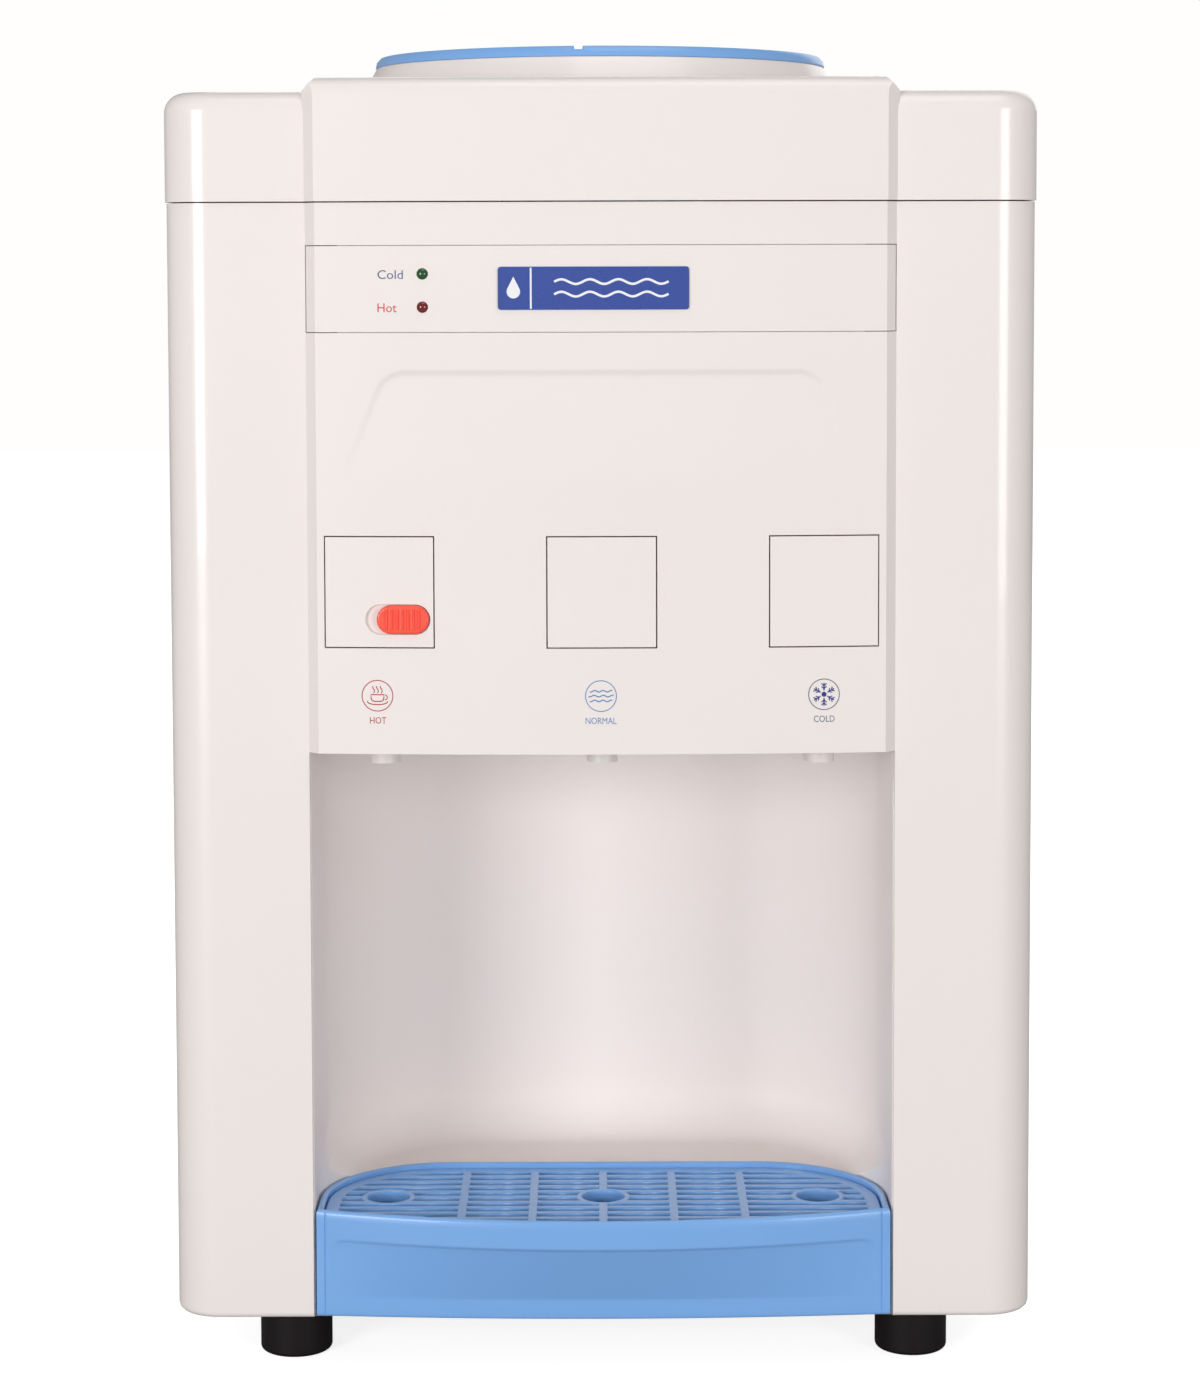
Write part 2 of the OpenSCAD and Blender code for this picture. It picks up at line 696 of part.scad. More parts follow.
// Bars, ribs and splash rings of the grate, over the whole tray
module grate_bars() {
    rib_w = 3.4;
    rib_pitch = 28;
    for (i = [-8:8])
        translate([-tray_half, splash_y + i * bar_pitch - bar_w / 2]) square([2 * tray_half, bar_w]);
    for (i = [-2:2])
        translate([i * rib_pitch - rib_w / 2, y_front - 40]) square([rib_w, 140]);
    splash_places() circle(splash_hole_r + 2.2);
}

module drip_grate() color(tray_blue) {
    inset = tray_wall + 0.5;
    border = 5.2;
    bar_drop = 3.6;
    translate([0, 0, tray_ledge_z + 0.05]) difference() {
        union() {
            linear_extrude(3) {
                difference() {
                    tray_plan_upper(-inset);
                    tray_plan_upper(-inset - border);
                }
                intersection() {
                    tray_plan_upper(-inset);
                    grate_bars();
                }
            }
            translate([0, 0, -bar_drop]) linear_extrude(bar_drop + 0.1) intersection() {
                tray_plan_lower(-tray_wall - 3.4);
                grate_bars();
            }
        }
        translate([0, 0, -10]) linear_extrude(20) splash_places() circle(splash_hole_r);
    }
}

// ---- bottle seat and cold tank --------------------------------------------

module bottle_seat() color(tray_blue) difference() {
    rotate_extrude($fn = 128) polygon([[ring_r, seat_z], [ring_r - 0.5, seat_z + 2.4],
        [ring_r - 2.2, ring_top_z],
        [ring_r - 5.3, ring_top_z], [89.5, seat_z - 8], [neck_r + 6, lid_z + 27], [neck_r, lid_z + 21],
        [neck_r, lid_z - 7], [32, lid_z - 7], [32, lid_z + 15], [neck_r + 8.5, lid_z + 24],
            [92.6, seat_z - 10],
        [92.6, seat_z]]);
    translate([-10.5, -ring_r - 1, ring_top_z - 1.4]) cube([3.4, 8, 3]);
}

module bottle_probe() color([0.92, 0.93, 0.94]) difference() {
    union() {
        translate([0, 0, lid_z - 10.1]) cylinder(r = 31, h = 3);
        translate([0, 0, lid_z - 8]) cylinder(r1 = 12, r2 = 8, h = 12);
        translate([0, 0, lid_z - 8]) cylinder(r = 8, h = 51);
        translate([0, 0, lid_z + 43]) cylinder(r1 = 8, r2 = 3, h = 7);
    }
    translate([0, 0, lid_z - 25]) cylinder(r = 5.5, h = 66);
    for (a = [0:90:270])
        rotate([0, 0, a]) {
            translate([20, 0, lid_z - 25]) cylinder(r = 5, h = 30);
            translate([0, 0, lid_z + 30]) rotate([0, 90, 0]) cylinder(r = 3, h = 20);
        }
}

module seat_gasket() color([0.86, 0.87, 0.88]) difference() {
    union() {
        translate([0, 0, lid_z]) cylinder(r = 36.4, h = 8);
        translate([0, 0, lid_z + 6]) cylinder(r = 40, h = 2);
    }
    translate([0, 0, lid_z - 1]) cylinder(r = 32.4, h = 20);
}

module tank_lid() color([0.90, 0.90, 0.90]) difference() {
    union() {
        translate([0, 0, lid_z]) cylinder(r = tank_r + 4, h = 6);
        translate([0, 0, lid_z - 6]) cylinder(r = tank_r - 1.2, h = 7);
    }
    translate([0, 0, lid_z - 10]) cylinder(r = 36.5, h = 30);
    translate([0, 0, lid_z - 7]) cylinder(r = tank_r - 4, h = 7);
}

module cold_tank() color(steel) difference() {
    union() {
        translate([0, 0, tank_z]) cylinder(r = tank_r, h = lid_z - tank_z);
        translate([0, 0, shelf_z - 6]) cylinder(r = 4.5, h = tank_z - shelf_z + 7);
        translate([-20, 20, shelf_z - 6]) cylinder(r = 4.5, h = tank_z - shelf_z + 7);
        translate([0, 0, outlet_z]) rotate([90, 0, 0]) cylinder(r = 4.5, h = foam_r + 5);
    }
    translate([0, 0, tank_z + 1]) cylinder(r = tank_r - 1, h = 200);
    for (p = [[0, 0], [-20, 20]])
        translate([p[0], p[1], 200]) cylinder(r = 3.4, h = 100);
    translate([0, 0, outlet_z]) rotate([90, 0, 0]) cylinder(r = 3.4, h = 120);
}

module tank_baffle() color([0.85, 0.87, 0.90]) difference() {
    union() {
        translate([0, 0, baffle_z]) cylinder(r = tank_r - 1.5, h = 2);
        translate([-20, 20, tank_z + 1.1]) cylinder(r = 6, h = baffle_z - tank_z);
    }
    translate([-20, 20, 200]) cylinder(r = 4.6, h = 200);
    for (a = [0:60:300])
        rotate([0, 0, a + 15]) translate([50, 0, 300]) cylinder(r = 4, h = 100);
}

module evaporator_coil() color(copper)
    rotate([0, 0, 90]) sweep(helix(tank_r + 3.5, 300, 345, 5, 24), 3, 8, [1, 0, 0.1]);

module tank_insulation() color(foam_white) difference() {
    translate([0, 0, shelf_z + shelf_t]) cylinder(r = foam_r, h = lid_z - 1 - shelf_z - shelf_t);
    translate([0, 0, tank_z]) cylinder(r = tank_r + 7, h = 300);
    for (p = [[0, 0], [-20, 20]])
        translate([p[0], p[1], 200]) cylinder(r = 6, h = 100);
    translate([0, 0, outlet_z]) rotate([90, 0, 0]) cylinder(r = 6, h = 120);
    translate([-14, 60, 200]) cube([28, 60, 150]);
}

module tank_shelf() color(steel) difference() {
    translate([-cabinet_w / 2 + 3.5, y_front + 68.5, shelf_z]) cube([cabinet_w - 7, 225, shelf_t]);
    for (p = [[0, 0], [-20, 20]])
        translate([p[0], p[1], 200]) cylinder(r = 8, h = 100);
    translate([-18, 60, 200]) cube([36, 120, 100]);
}

// ---- hot tank ------------------------------------------------------------

module at_hot() {
    translate([hot_x, hot_y, 0]) children();
}

module hot_tank() color(steel) at_hot() difference() {
    union() {
        translate([0, 0, hot_z]) rotate_extrude() {
            square([hot_r - 8, hot_h]);
            translate([0, 8]) square([hot_r, hot_h - 16]);
            for (z = [8, hot_h - 8])
                translate([hot_r - 8, z]) circle(8);
        }
        translate([0, 0, hot_z + hot_h - 1]) cylinder(r = 4.5, h = 16);
        for (x = [0, 20])
            translate([x, 0, hot_z - 12]) cylinder(r = 4.5, h = 16);
    }
    translate([0, 0, hot_z + 1.2]) rotate_extrude() {
        square([hot_r - 8, hot_h - 2.4]);
        translate([0, 8]) square([hot_r - 1.2, hot_h - 18.4]);
    }
    translate([0, 0, hot_z + hot_h - 10]) cylinder(r = 3.4, h = 60);
    for (x = [0, 20])
        translate([x, 0, hot_z - 20]) cylinder(r = 3.4, h = 30);
}

module heater_band() color([0.60, 0.60, 0.58]) at_hot() {
    difference() {
        translate([0, 0, 124]) cylinder(r = hot_r + 3, h = 34);
        translate([0, 0, 120]) cylinder(r = hot_r + 0.1, h = 50);
        translate([hot_r - 10, -3, 120]) cube([20, 6, 50]);
    }
}

module hot_tank_jacket() color(foam_white) at_hot() difference() {
    translate([0, 0, hot_z]) cylinder(r = hot_r + 12, h = hot_h);
    translate([0, 0, hot_z - 1]) cylinder(r = hot_r + 4, h = hot_h + 10);
}

module thermostats() color([0.15, 0.15, 0.16]) at_hot()
    for (s = [-1, 1]) {
        translate([s * 20, 0, hot_z + hot_h]) cylinder(r = 8, h = 6);
        for (t = [-1, 1])
            translate([s * 20 - 0.4, t * 4 - 1.5, hot_z + hot_h + 6]) cube([0.8, 3, 6]);
    }

module hot_tank_stand() color(steel) at_hot() {
    difference() {
        translate([0, 0, hot_z - 2]) cylinder(r = hot_r + 12, h = 2);
        translate([0, 0, hot_z - 3]) cylinder(r = 28, h = 4);
    }
    for (a = [30, 150, 270])
        rotate([0, 0, a]) translate([hot_r - 2, -8, pan_top_z]) cube([2, 16, hot_z - 1 - pan_top_z]);
}

// ---- cooling circuit -----------------------------------------------------

module at_compressor() {
    translate([comp_x, comp_y, 0]) children();
}

module compressor_shell() rotate_extrude() {
    square([compressor_r - 26, comp_h]);
    translate([0, 26]) square([compressor_r, comp_h - 52]);
    for (z = [26, comp_h - 26])
        translate([compressor_r - 26, z]) circle(26);
    translate([0, comp_h * 0.76]) square([compressor_r + 2.5, 3]);
}

module compressor() color(rubber_black) at_compressor() {
    difference() {
        translate([-75, -60, comp_z - 2.5]) cube([150, 120, 2.5]);
        for (sx = [-1, 1], sy = [-1, 1])
            translate([sx * 64, sy * 48, 0]) cylinder(r = 7.2, h = 60);
    }
    difference() {
        translate([0, 0, comp_z]) compressor_shell();
        translate([0, 0, comp_z + 12]) cylinder(r = compressor_r - 10, h = comp_h - 30);
        for (x = [-28, 28])
            translate([x, 0, comp_z + comp_h - 40]) cylinder(r = 2.2, h = 60);
    }
    for (x = [-28, 28])
        translate([x, 0, comp_z + comp_h - 8]) difference() {
            cylinder(r = 4, h = 14);
            translate([0, 0, -1]) cylinder(r = 2.2, h = 20);
        }
}

module compressor_mounts() color([0.16, 0.16, 0.17]) at_compressor()
    for (sx = [-1, 1], sy = [-1, 1])
        translate([sx * 64, sy * 48, 0]) {
            difference() {
                union() {
                    translate([0, 0, pan_top_z]) cylinder(r = 10, h = comp_z - 2.5 - pan_top_z);
                    translate([0, 0, pan_top_z]) cylinder(r = 7, h = comp_z - pan_top_z + 3);
                    translate([0, 0, comp_z + 0.1]) cylinder(r = 9, h = 3);
                }
                translate([0, 0, 0]) cylinder(r = 3.2, h = 60);
            }
            translate([0, 0, pan_top_z]) cylinder(r = 3, h = 25);
            translate([0, 0, comp_z + 3.2]) cylinder(r = 6, h = 4, $fn = 6);
        }

module terminal_cover() color([0.12, 0.12, 0.13]) at_compressor() difference() {
    translate([-24, -compressor_r - 22, 92]) cube([48, 40, 52]);
    translate([0, 0, 80]) cylinder(r = compressor_r + 0.1, h = 80);
    translate([-22, -compressor_r - 20, 94]) cube([44, 60, 48]);
}

module filter_drier() color(copper) translate([-16, 128, 0]) {
    translate([0, 0, 76]) cylinder(r = 9, h = 84);
    translate([0, 0, 66]) cylinder(r1 = 3, r2 = 9, h = 10);
    translate([0, 0, 160]) cylinder(r1 = 9, r2 = 3, h = 10);
}

// Discharge line, liquid line, capillary and suction line
module refrigerant_lines() color(copper) {
    cap_z = comp_z + comp_h + 6;
    foot_z = cond_z - 14;
    sweep(route([[comp_x + 28, comp_y, cap_z], [comp_x + 28, comp_y, cap_z + 4],
        [comp_x + 31, comp_y + 8, cap_z + 14], [cond_half - 8, y_rear - 45, cap_z + 8],
        [cond_half - 2, y_rear - 20, foot_z + 2], [cond_half, y_rear - 8, foot_z],
            [cond_half, cond_y - 3.5, foot_z]], 4), 2.4, 8, [1, 0, 0]);
    sweep(route([[-cond_half, cond_y - 3.5, foot_z], [-cond_half, y_rear - 12, foot_z],
        [-cond_half + 16, y_rear - 22, foot_z + 4],
        [-50, y_rear - 20, foot_z + 6], [-22, y_rear - 22, foot_z + 4], [-16, y_rear - 23.5, foot_z - 6],
            [-16, y_rear - 23.5, 170]], 4), 2.4, 8, [0, 0, 1]);
    sweep(route([[-16, y_rear - 23.5, 66], [-16, y_rear - 23.5, 50], [-8, y_rear - 18, 46],
        [0, y_rear - 14, 60],
        [-2, y_rear - 12, 150], [-4, y_rear - 30, 236], [-6, 90, 280], [-5, 80, 294]], 4), 1.2, 6,
            [1, 0, 0]);
    sweep(route([[comp_x - 28, comp_y, cap_z], [comp_x - 28, comp_y, cap_z + 6],
        [comp_x - 31, comp_y, cap_z + 17], [30, comp_y + 8, cap_z + 26],
        [8, comp_y + 12, 246], [6, 90, 285], [6, 82, 340], [5, 80, 348]], 4), 3.2, 8, [0, 1, 0]);
}

// Serpentine of the condenser, from its lower right to its lower left end
module condenser_tube() color(rubber_black) {
    r = cond_pitch / 2;
    runs = [for (i = [0:condenser_runs - 1]) let (s = i % 2 == 0 ? 1 : -1, z = cond_z + i * cond_pitch)
        each concat([[s * (cond_half - r), cond_y, z], [-s * (cond_half - r), cond_y, z]],
            i < condenser_runs - 1 ? [for (a = [-60:30:60]) [-s * (cond_half - r + r * cos(a)), cond_y,
                z + r + r * sin(a)]] : [])];
    top = cond_z + (condenser_runs - 1) * cond_pitch;
    sweep(concat([[cond_half, cond_y - 3.5, cond_z - 14], [cond_half, cond_y - 2.5, cond_z - 14],
        [cond_half, cond_y - 0.7, cond_z - 13],
        [cond_half, cond_y, cond_z - 11],
        [cond_half - 2, cond_y, cond_z - 3]], runs,
        [[-cond_half + 3, cond_y, top - 3], [-cond_half, cond_y, top - 9],
            [-cond_half, cond_y, cond_z - 10],
        [-cond_half, cond_y - 0.7, cond_z - 13], [-cond_half, cond_y - 2.5, cond_z - 14],
        [-cond_half, cond_y - 3.5, cond_z - 14]]), cond_tube_r, 8, [0, 1, 0.1]);
}

module condenser_wires() color(rubber_black)
    for (i = [-13:13], s = [-1, 1])
        translate([i * 8.4 + s * 1.6, cond_y + s * (cond_tube_r + cond_wire_r + 0.05), cond_z - 8])
            cylinder(r = cond_wire_r, h = (condenser_runs - 1) * cond_pitch + 16, $fn = 16);

// ---- rear fittings -------------------------------------------------------

module rocker(x) {
    translate([x - 6.2, switch_y, switch_z]) rotate([0, 90, 0]) cylinder(r = 1.5, h = 12.4);
    translate([x - 5.3, switch_y, switch_z]) rotate([switch_tilt, 0, 0]) rotate([90, 0, 90])
        linear_extrude(10.6) polygon([[-3, -4], [3, -7.8], [4.2, -7.8], [3, 0], [4.2, 7.8], [3, 7.8],
            [-3, 4]]);
}

module hot_switch() color([0.75, 0.10, 0.08]) rocker(switch_xs[0]);

module cold_switch() color([0.10, 0.45, 0.18]) rocker(switch_xs[1]);

module switch_housings() color(rubber_black)
    for (x = switch_xs)
        translate([x, 0, switch_z]) {
            difference() {
                union() {
                    translate([-8, y_rear, -11]) cube([16, 2, 22]);
                    translate([-6.5, y_rear - 20, -9.5]) cube([13, 21, 19]);
                }
                translate([-5.7, y_rear - 6.5, -8.7]) cube([11.4, 20, 17.4]);
                translate([-10, switch_y, 0]) rotate([0, 90, 0]) cylinder(r = 1.55, h = 20);
            }
            for (t = [-5, 5])
                translate([-3, y_rear - 28, t - 0.4]) cube([6, 8.1, 0.8]);
        }

module cord_gland() color(rubber_black) translate([gland_x, y_rear, gland_z]) rotate([-90, 0, 0]) difference() {
    union() {
        translate([0, 0, -8]) cylinder(r = 8, h = 9);
        cylinder(r = 10.5, h = 2.5);
        translate([0, 0, 2]) cylinder(r1 = 8, r2 = 5.6, h = 9);
    }
    translate([0, 0, -20]) cylinder(r = 3.6, h = 60);
}

module drain_spigot() color([0.90, 0.90, 0.90]) translate([drain_x, y_rear, drain_z]) rotate([-90, 0, 0]) difference() {
    union() {
        translate([0, 0, -14]) cylinder(r = 4.5, h = 8);
        translate([0, 0, -7]) cylinder(r = 11, h = 5.7);
        translate([0, 0, -2]) cylinder(r = 8, h = 11);
    }
    translate([0, 0, -20]) cylinder(r = 3.4, h = 60);
}

module drain_cap() color(tray_blue) translate([drain_x, y_rear, drain_z]) rotate([-90, 0, 0]) difference() {
    union() {
        translate([0, 0, 1]) cylinder(r = 11, h = 11);
        for (a = [0:30:330])
            rotate([0, 0, a]) translate([11, 0, 1]) cylinder(r = 0.9, h = 10, $fn = 16);
    }
    translate([0, 0, 0]) cylinder(r = 8.3, h = 9.5);
}

// Cold, normal, hot, feed and drain hoses
module water_hoses() color([0.93, 0.93, 0.90]) {
    r = 4;
    z = valve_z + 4;
    top = shelf_z - 6;
    reach = 22;
    sweep(route([[0, 0, top], [1, -6, top - 6], [10, -40, 259], [30, -84, 260], [46, -110, z - 3],
        [54, -123, z],
        [tap_pitch - reach, tap_y, z]], 4), r, 8, [1, 0, 0]);
    sweep(route([[0, -foam_r - 5, outlet_z], [-3, -foam_r - 15, outlet_z - 6], [-14, -110, 384],
        [-32, -110, 340],
        [-36, -114, 292], [-34, -122, z + 4], [-reach, tap_y, z]], 4), r, 8, [1, 0, 0]);
    sweep(route([[hot_x, hot_y, hot_z + hot_h + 15], [hot_x + 1, hot_y - 6, 244], [hot_x + 10, 20, 257],
        [-62, -40, 259],
        [-50, -88, 260], [-48, -112, z - 3], [-54, -123, z], [-tap_pitch + reach, tap_y, z]], 4), r, 8,
            [1, 0, 0]);
    sweep(route([[-20, 20, top], [-20, 20, 246], [-27, 10, 206], [-28, 0, 124], [-34, 10, 66],
        [-64, 46, 46],
        [hot_x + 4, hot_y - 3, 52], [hot_x, hot_y, hot_z - 12]], 4), r, 8, [1, 0, 0]);
    sweep(route([[hot_x + 20, hot_y, hot_z - 12], [hot_x + 20, hot_y + 3, 60], [hot_x + 14, 100, 47],
        [drain_x + 1, 124, 49],
        [drain_x, y_rear - 14, drain_z]], 4), r, 8, [1, 0, 0]);
}

front_shell();
niche_liner();
left_side_panel();
right_side_panel();
rear_panel();
top_cover();
base_pan();
feet();
foot_screws();
panel_screws();
display_strip();
badge_plate();
indicator_board();
cold_led();
hot_led();
button_carrier();
hot_button();
normal_button();
cold_button();
child_lock();
hot_tap_body();
normal_tap_body();
cold_tap_body();
tap_bonnets();
hot_stem();
normal_stem();
cold_stem();
hot_spring();
normal_spring();
cold_spring();
drip_tray();
drip_grate();
bottle_seat();
bottle_probe();
seat_gasket();
tank_lid();
cold_tank();
tank_baffle();
evaporator_coil();
tank_insulation();
tank_shelf();
hot_tank();
heater_band();
hot_tank_jacket();
thermostats();
hot_tank_stand();
compressor();
compressor_mounts();
terminal_cover();
filter_drier();
refrigerant_lines();
condenser_tube();
condenser_wires();
hot_switch();
cold_switch();
switch_housings();
cord_gland();
drain_spigot();
drain_cap();
water_hoses();
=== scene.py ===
from math import asin, cos, hypot, pi, radians, sin, sqrt

import bmesh
import bpy
from mathutils import Matrix, Vector
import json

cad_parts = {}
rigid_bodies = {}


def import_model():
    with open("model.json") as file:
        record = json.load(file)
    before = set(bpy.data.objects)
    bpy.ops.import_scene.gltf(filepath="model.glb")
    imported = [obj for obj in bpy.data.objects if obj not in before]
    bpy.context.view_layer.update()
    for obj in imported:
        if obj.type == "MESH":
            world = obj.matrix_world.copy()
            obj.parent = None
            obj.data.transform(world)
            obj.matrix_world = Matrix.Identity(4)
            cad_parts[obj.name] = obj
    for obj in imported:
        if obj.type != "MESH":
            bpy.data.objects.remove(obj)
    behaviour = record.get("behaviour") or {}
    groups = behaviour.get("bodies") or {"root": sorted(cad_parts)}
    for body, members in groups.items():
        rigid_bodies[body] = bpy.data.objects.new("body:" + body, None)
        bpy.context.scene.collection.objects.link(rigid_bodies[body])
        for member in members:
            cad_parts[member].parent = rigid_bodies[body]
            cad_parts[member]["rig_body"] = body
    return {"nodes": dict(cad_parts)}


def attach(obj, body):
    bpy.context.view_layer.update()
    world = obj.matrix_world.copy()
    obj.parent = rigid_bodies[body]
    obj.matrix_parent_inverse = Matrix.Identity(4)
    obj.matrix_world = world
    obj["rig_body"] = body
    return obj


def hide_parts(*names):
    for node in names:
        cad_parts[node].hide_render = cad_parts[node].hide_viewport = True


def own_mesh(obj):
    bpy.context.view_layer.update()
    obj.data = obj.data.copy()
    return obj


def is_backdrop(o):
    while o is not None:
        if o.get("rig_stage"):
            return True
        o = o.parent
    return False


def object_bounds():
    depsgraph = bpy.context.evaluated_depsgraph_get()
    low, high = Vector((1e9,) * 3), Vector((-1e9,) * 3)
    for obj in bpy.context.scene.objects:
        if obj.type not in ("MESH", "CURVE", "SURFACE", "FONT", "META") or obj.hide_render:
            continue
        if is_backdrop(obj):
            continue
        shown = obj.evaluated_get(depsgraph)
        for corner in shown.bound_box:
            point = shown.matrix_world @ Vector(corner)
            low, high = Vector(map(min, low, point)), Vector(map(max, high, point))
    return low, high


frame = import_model()
cad_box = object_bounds()
nodes = frame["nodes"]
mm = 0.001

# ---- Camera, floor and studio light ---------------------------------------
# The dispenser stands on a pale studio floor, seen straight on from a little above
# its middle. Large soft boxes stand in front, at both sides, behind and overhead. The
# washes only fill shade, so they leave no reflection of their own on the gloss.

eye = bpy.data.cameras.new("studio_camera")
eye.lens = 84
eye.sensor_width = 36
eye.shift_y = -0.155
eye.clip_end = 30
camera = bpy.data.objects.new("studio_camera", eye)
bpy.context.scene.collection.objects.link(camera)
camera.matrix_world = (
    Matrix.Translation((-0.00114, -1.41466, 0.44215))
    @ Matrix.Rotation(radians(-0.026), 4, "Z")
    @ Matrix.Rotation(radians(90 - 3.973), 4, "X")
    @ Matrix.Rotation(radians(-0.153), 4, "Z")
)
bpy.context.scene.camera = camera
bpy.context.scene.view_settings.view_transform = "Standard"

room = bpy.data.worlds.new("white_room")
bpy.context.scene.world = room
room.use_nodes = True
sky = room.node_tree.nodes["Background"]
sky.inputs["Color"].default_value = (1.0, 0.99, 0.985, 1)
ray = room.node_tree.nodes.new("ShaderNodeLightPath")
level = room.node_tree.nodes.new("ShaderNodeMapRange")
level.inputs["To Min"].default_value = 0.3
level.inputs["To Max"].default_value = 1.0
room.node_tree.links.new(ray.outputs["Is Camera Ray"], level.inputs["Value"])
room.node_tree.links.new(level.outputs["Result"], sky.inputs["Strength"])


def soft_box(name, place, aim, width, height, power, colour):
    lamp = bpy.data.lights.new(name, "AREA")
    lamp.shape = "RECTANGLE"
    lamp.size = width
    lamp.size_y = height
    lamp.energy = power
    lamp.color = colour
    box = bpy.data.objects.new(name, lamp)
    bpy.context.scene.collection.objects.link(box)
    box.location = place
    box.rotation_euler = (Vector(aim) - Vector(place)).to_track_quat("-Z", "Y").to_euler()
    return box


soft_box("key_left", (-1.5, -2.4, 0.58), (0, 0, 0.25), 1.0, 1.0, 33, (1.0, 0.99, 0.985))
soft_box("fill_right", (1.65, -2.4, 0.52), (0, 0, 0.25), 1.0, 1.0, 20, (1.0, 0.985, 0.98))
front_wash = soft_box("front_wash", (-0.1, -3.2, 0.55), (0, 0, 0.25), 1.2, 0.5, 11, (1.0, 0.985, 0.98))
front_wash.visible_glossy = False
soft_box("rear_fill", (0.7, 2.8, 1.6), (0, 0, 0.25), 2.6, 2.0, 16, (1.0, 1.0, 1.0))
soft_box("overhead", (0.25, -0.6, 2.0), (0, 0, 0.4), 1.2, 0.9, 5, (1.0, 1.0, 1.0))
for side in (-1, 1):
    side_wash = soft_box("side_wash", (side * 2.6, 0.9, 0.7), (0, 0, 0.25), 1.4, 1.2, 13, (1.0, 0.98, 0.97))
    side_wash.visible_glossy = False

floor_mesh = bpy.data.meshes.new("studio_floor")
floor_mesh.from_pydata([(-6, -6, 0), (6, -6, 0), (6, 6, 0), (-6, 6, 0)], [], [(0, 1, 2, 3)])
floor = bpy.data.objects.new("studio_floor", floor_mesh)
bpy.context.scene.collection.objects.link(floor)
pale = bpy.data.materials.new("studio_floor")
pale.use_nodes = True
paper = pale.node_tree.nodes["Principled BSDF"]
paper.inputs["Roughness"].default_value = 0.95
paper.inputs["Specular IOR Level"].default_value = 0.1
paper.inputs["Emission Color"].default_value = (1, 1, 1, 1)
seen = pale.node_tree.nodes.new("ShaderNodeLightPath")
tone = pale.node_tree.nodes.new("ShaderNodeMix")
tone.data_type = "RGBA"
tone.inputs["A"].default_value = (0.42, 0.42, 0.42, 1)
tone.inputs["B"].default_value = (0.88, 0.88, 0.88, 1)
lift = pale.node_tree.nodes.new("ShaderNodeMath")
lift.operation = "MULTIPLY"
lift.inputs[1].default_value = 0.78
pale.node_tree.links.new(seen.outputs["Is Camera Ray"], tone.inputs["Factor"])
pale.node_tree.links.new(tone.outputs["Result"], paper.inputs["Base Color"])
pale.node_tree.links.new(seen.outputs["Is Camera Ray"], lift.inputs[0])
pale.node_tree.links.new(lift.outputs["Value"], paper.inputs["Emission Strength"])
floor_mesh.materials.append(pale)
floor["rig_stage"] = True

# ---- Front shell -----------------------------------------------------------
# One injection moulding in glossy off-white plastic: two wings that wrap round the
# sides and a bowed centre panel that stands proud of them, with a shallow relief
# over the buttons that fades out downwards.


def moulded_group():
    """Colour drift, gloss drift and the fine orange peel of a moulded or painted skin."""
    group = bpy.data.node_groups.new("moulded_skin", "ShaderNodeTree")
    face = group.interface
    for title, kind, value in (
        ("Colour", "NodeSocketColor", (0.8, 0.8, 0.8, 1)),
        ("Drift", "NodeSocketFloat", 0.03),
        ("Roughness", "NodeSocketFloat", 0.3),
        ("Smudge", "NodeSocketFloat", 0.06),
        ("Peel Scale", "NodeSocketFloat", 700.0),
    ):
        face.new_socket(name=title, in_out="INPUT", socket_type=kind).default_value = value
    face.new_socket(name="Colour", in_out="OUTPUT", socket_type="NodeSocketColor")
    face.new_socket(name="Roughness", in_out="OUTPUT", socket_type="NodeSocketFloat")
    face.new_socket(name="Height", in_out="OUTPUT", socket_type="NodeSocketFloat")
    made = group.nodes
    link = group.links.new
    start = made.new("NodeGroupInput")
    end = made.new("NodeGroupOutput")
    place = made.new("ShaderNodeTexCoord")
    broad = made.new("ShaderNodeTexNoise")
    broad.inputs["Scale"].default_value = 7
    broad.inputs["Detail"].default_value = 3
    smear = made.new("ShaderNodeTexNoise")
    smear.inputs["Scale"].default_value = 38
    smear.inputs["Detail"].default_value = 5
    peel = made.new("ShaderNodeTexNoise")
    peel.inputs["Detail"].default_value = 2
    for texture in (broad, smear, peel):
        link(place.outputs["Object"], texture.inputs["Vector"])
    link(start.outputs["Peel Scale"], peel.inputs["Scale"])
    drift = made.new("ShaderNodeMath")
    drift.operation = "MULTIPLY_ADD"
    half = made.new("ShaderNodeMath")
    half.operation = "SUBTRACT"
    half.inputs[1].default_value = 0.5
    link(broad.outputs["Fac"], half.inputs[0])
    link(half.outputs[0], drift.inputs[0])
    link(start.outputs["Drift"], drift.inputs[1])
    drift.inputs[2].default_value = 1.0
    tint = made.new("ShaderNodeVectorMath")
    tint.operation = "SCALE"
    link(start.outputs["Colour"], tint.inputs[0])
    link(drift.outputs[0], tint.inputs["Scale"])
    link(tint.outputs["Vector"], end.inputs["Colour"])
    middle = made.new("ShaderNodeMath")
    middle.operation = "SUBTRACT"
    middle.inputs[1].default_value = 0.5
    link(smear.outputs["Fac"], middle.inputs[0])
    gloss = made.new("ShaderNodeMath")
    gloss.operation = "MULTIPLY_ADD"
    gloss.use_clamp = True
    link(middle.outputs[0], gloss.inputs[0])
    link(start.outputs["Smudge"], gloss.inputs[1])
    link(start.outputs["Roughness"], gloss.inputs[2])
    link(gloss.outputs[0], end.inputs["Roughness"])
    link(peel.outputs["Fac"], end.inputs["Height"])
    return group


moulded_skin = moulded_group()


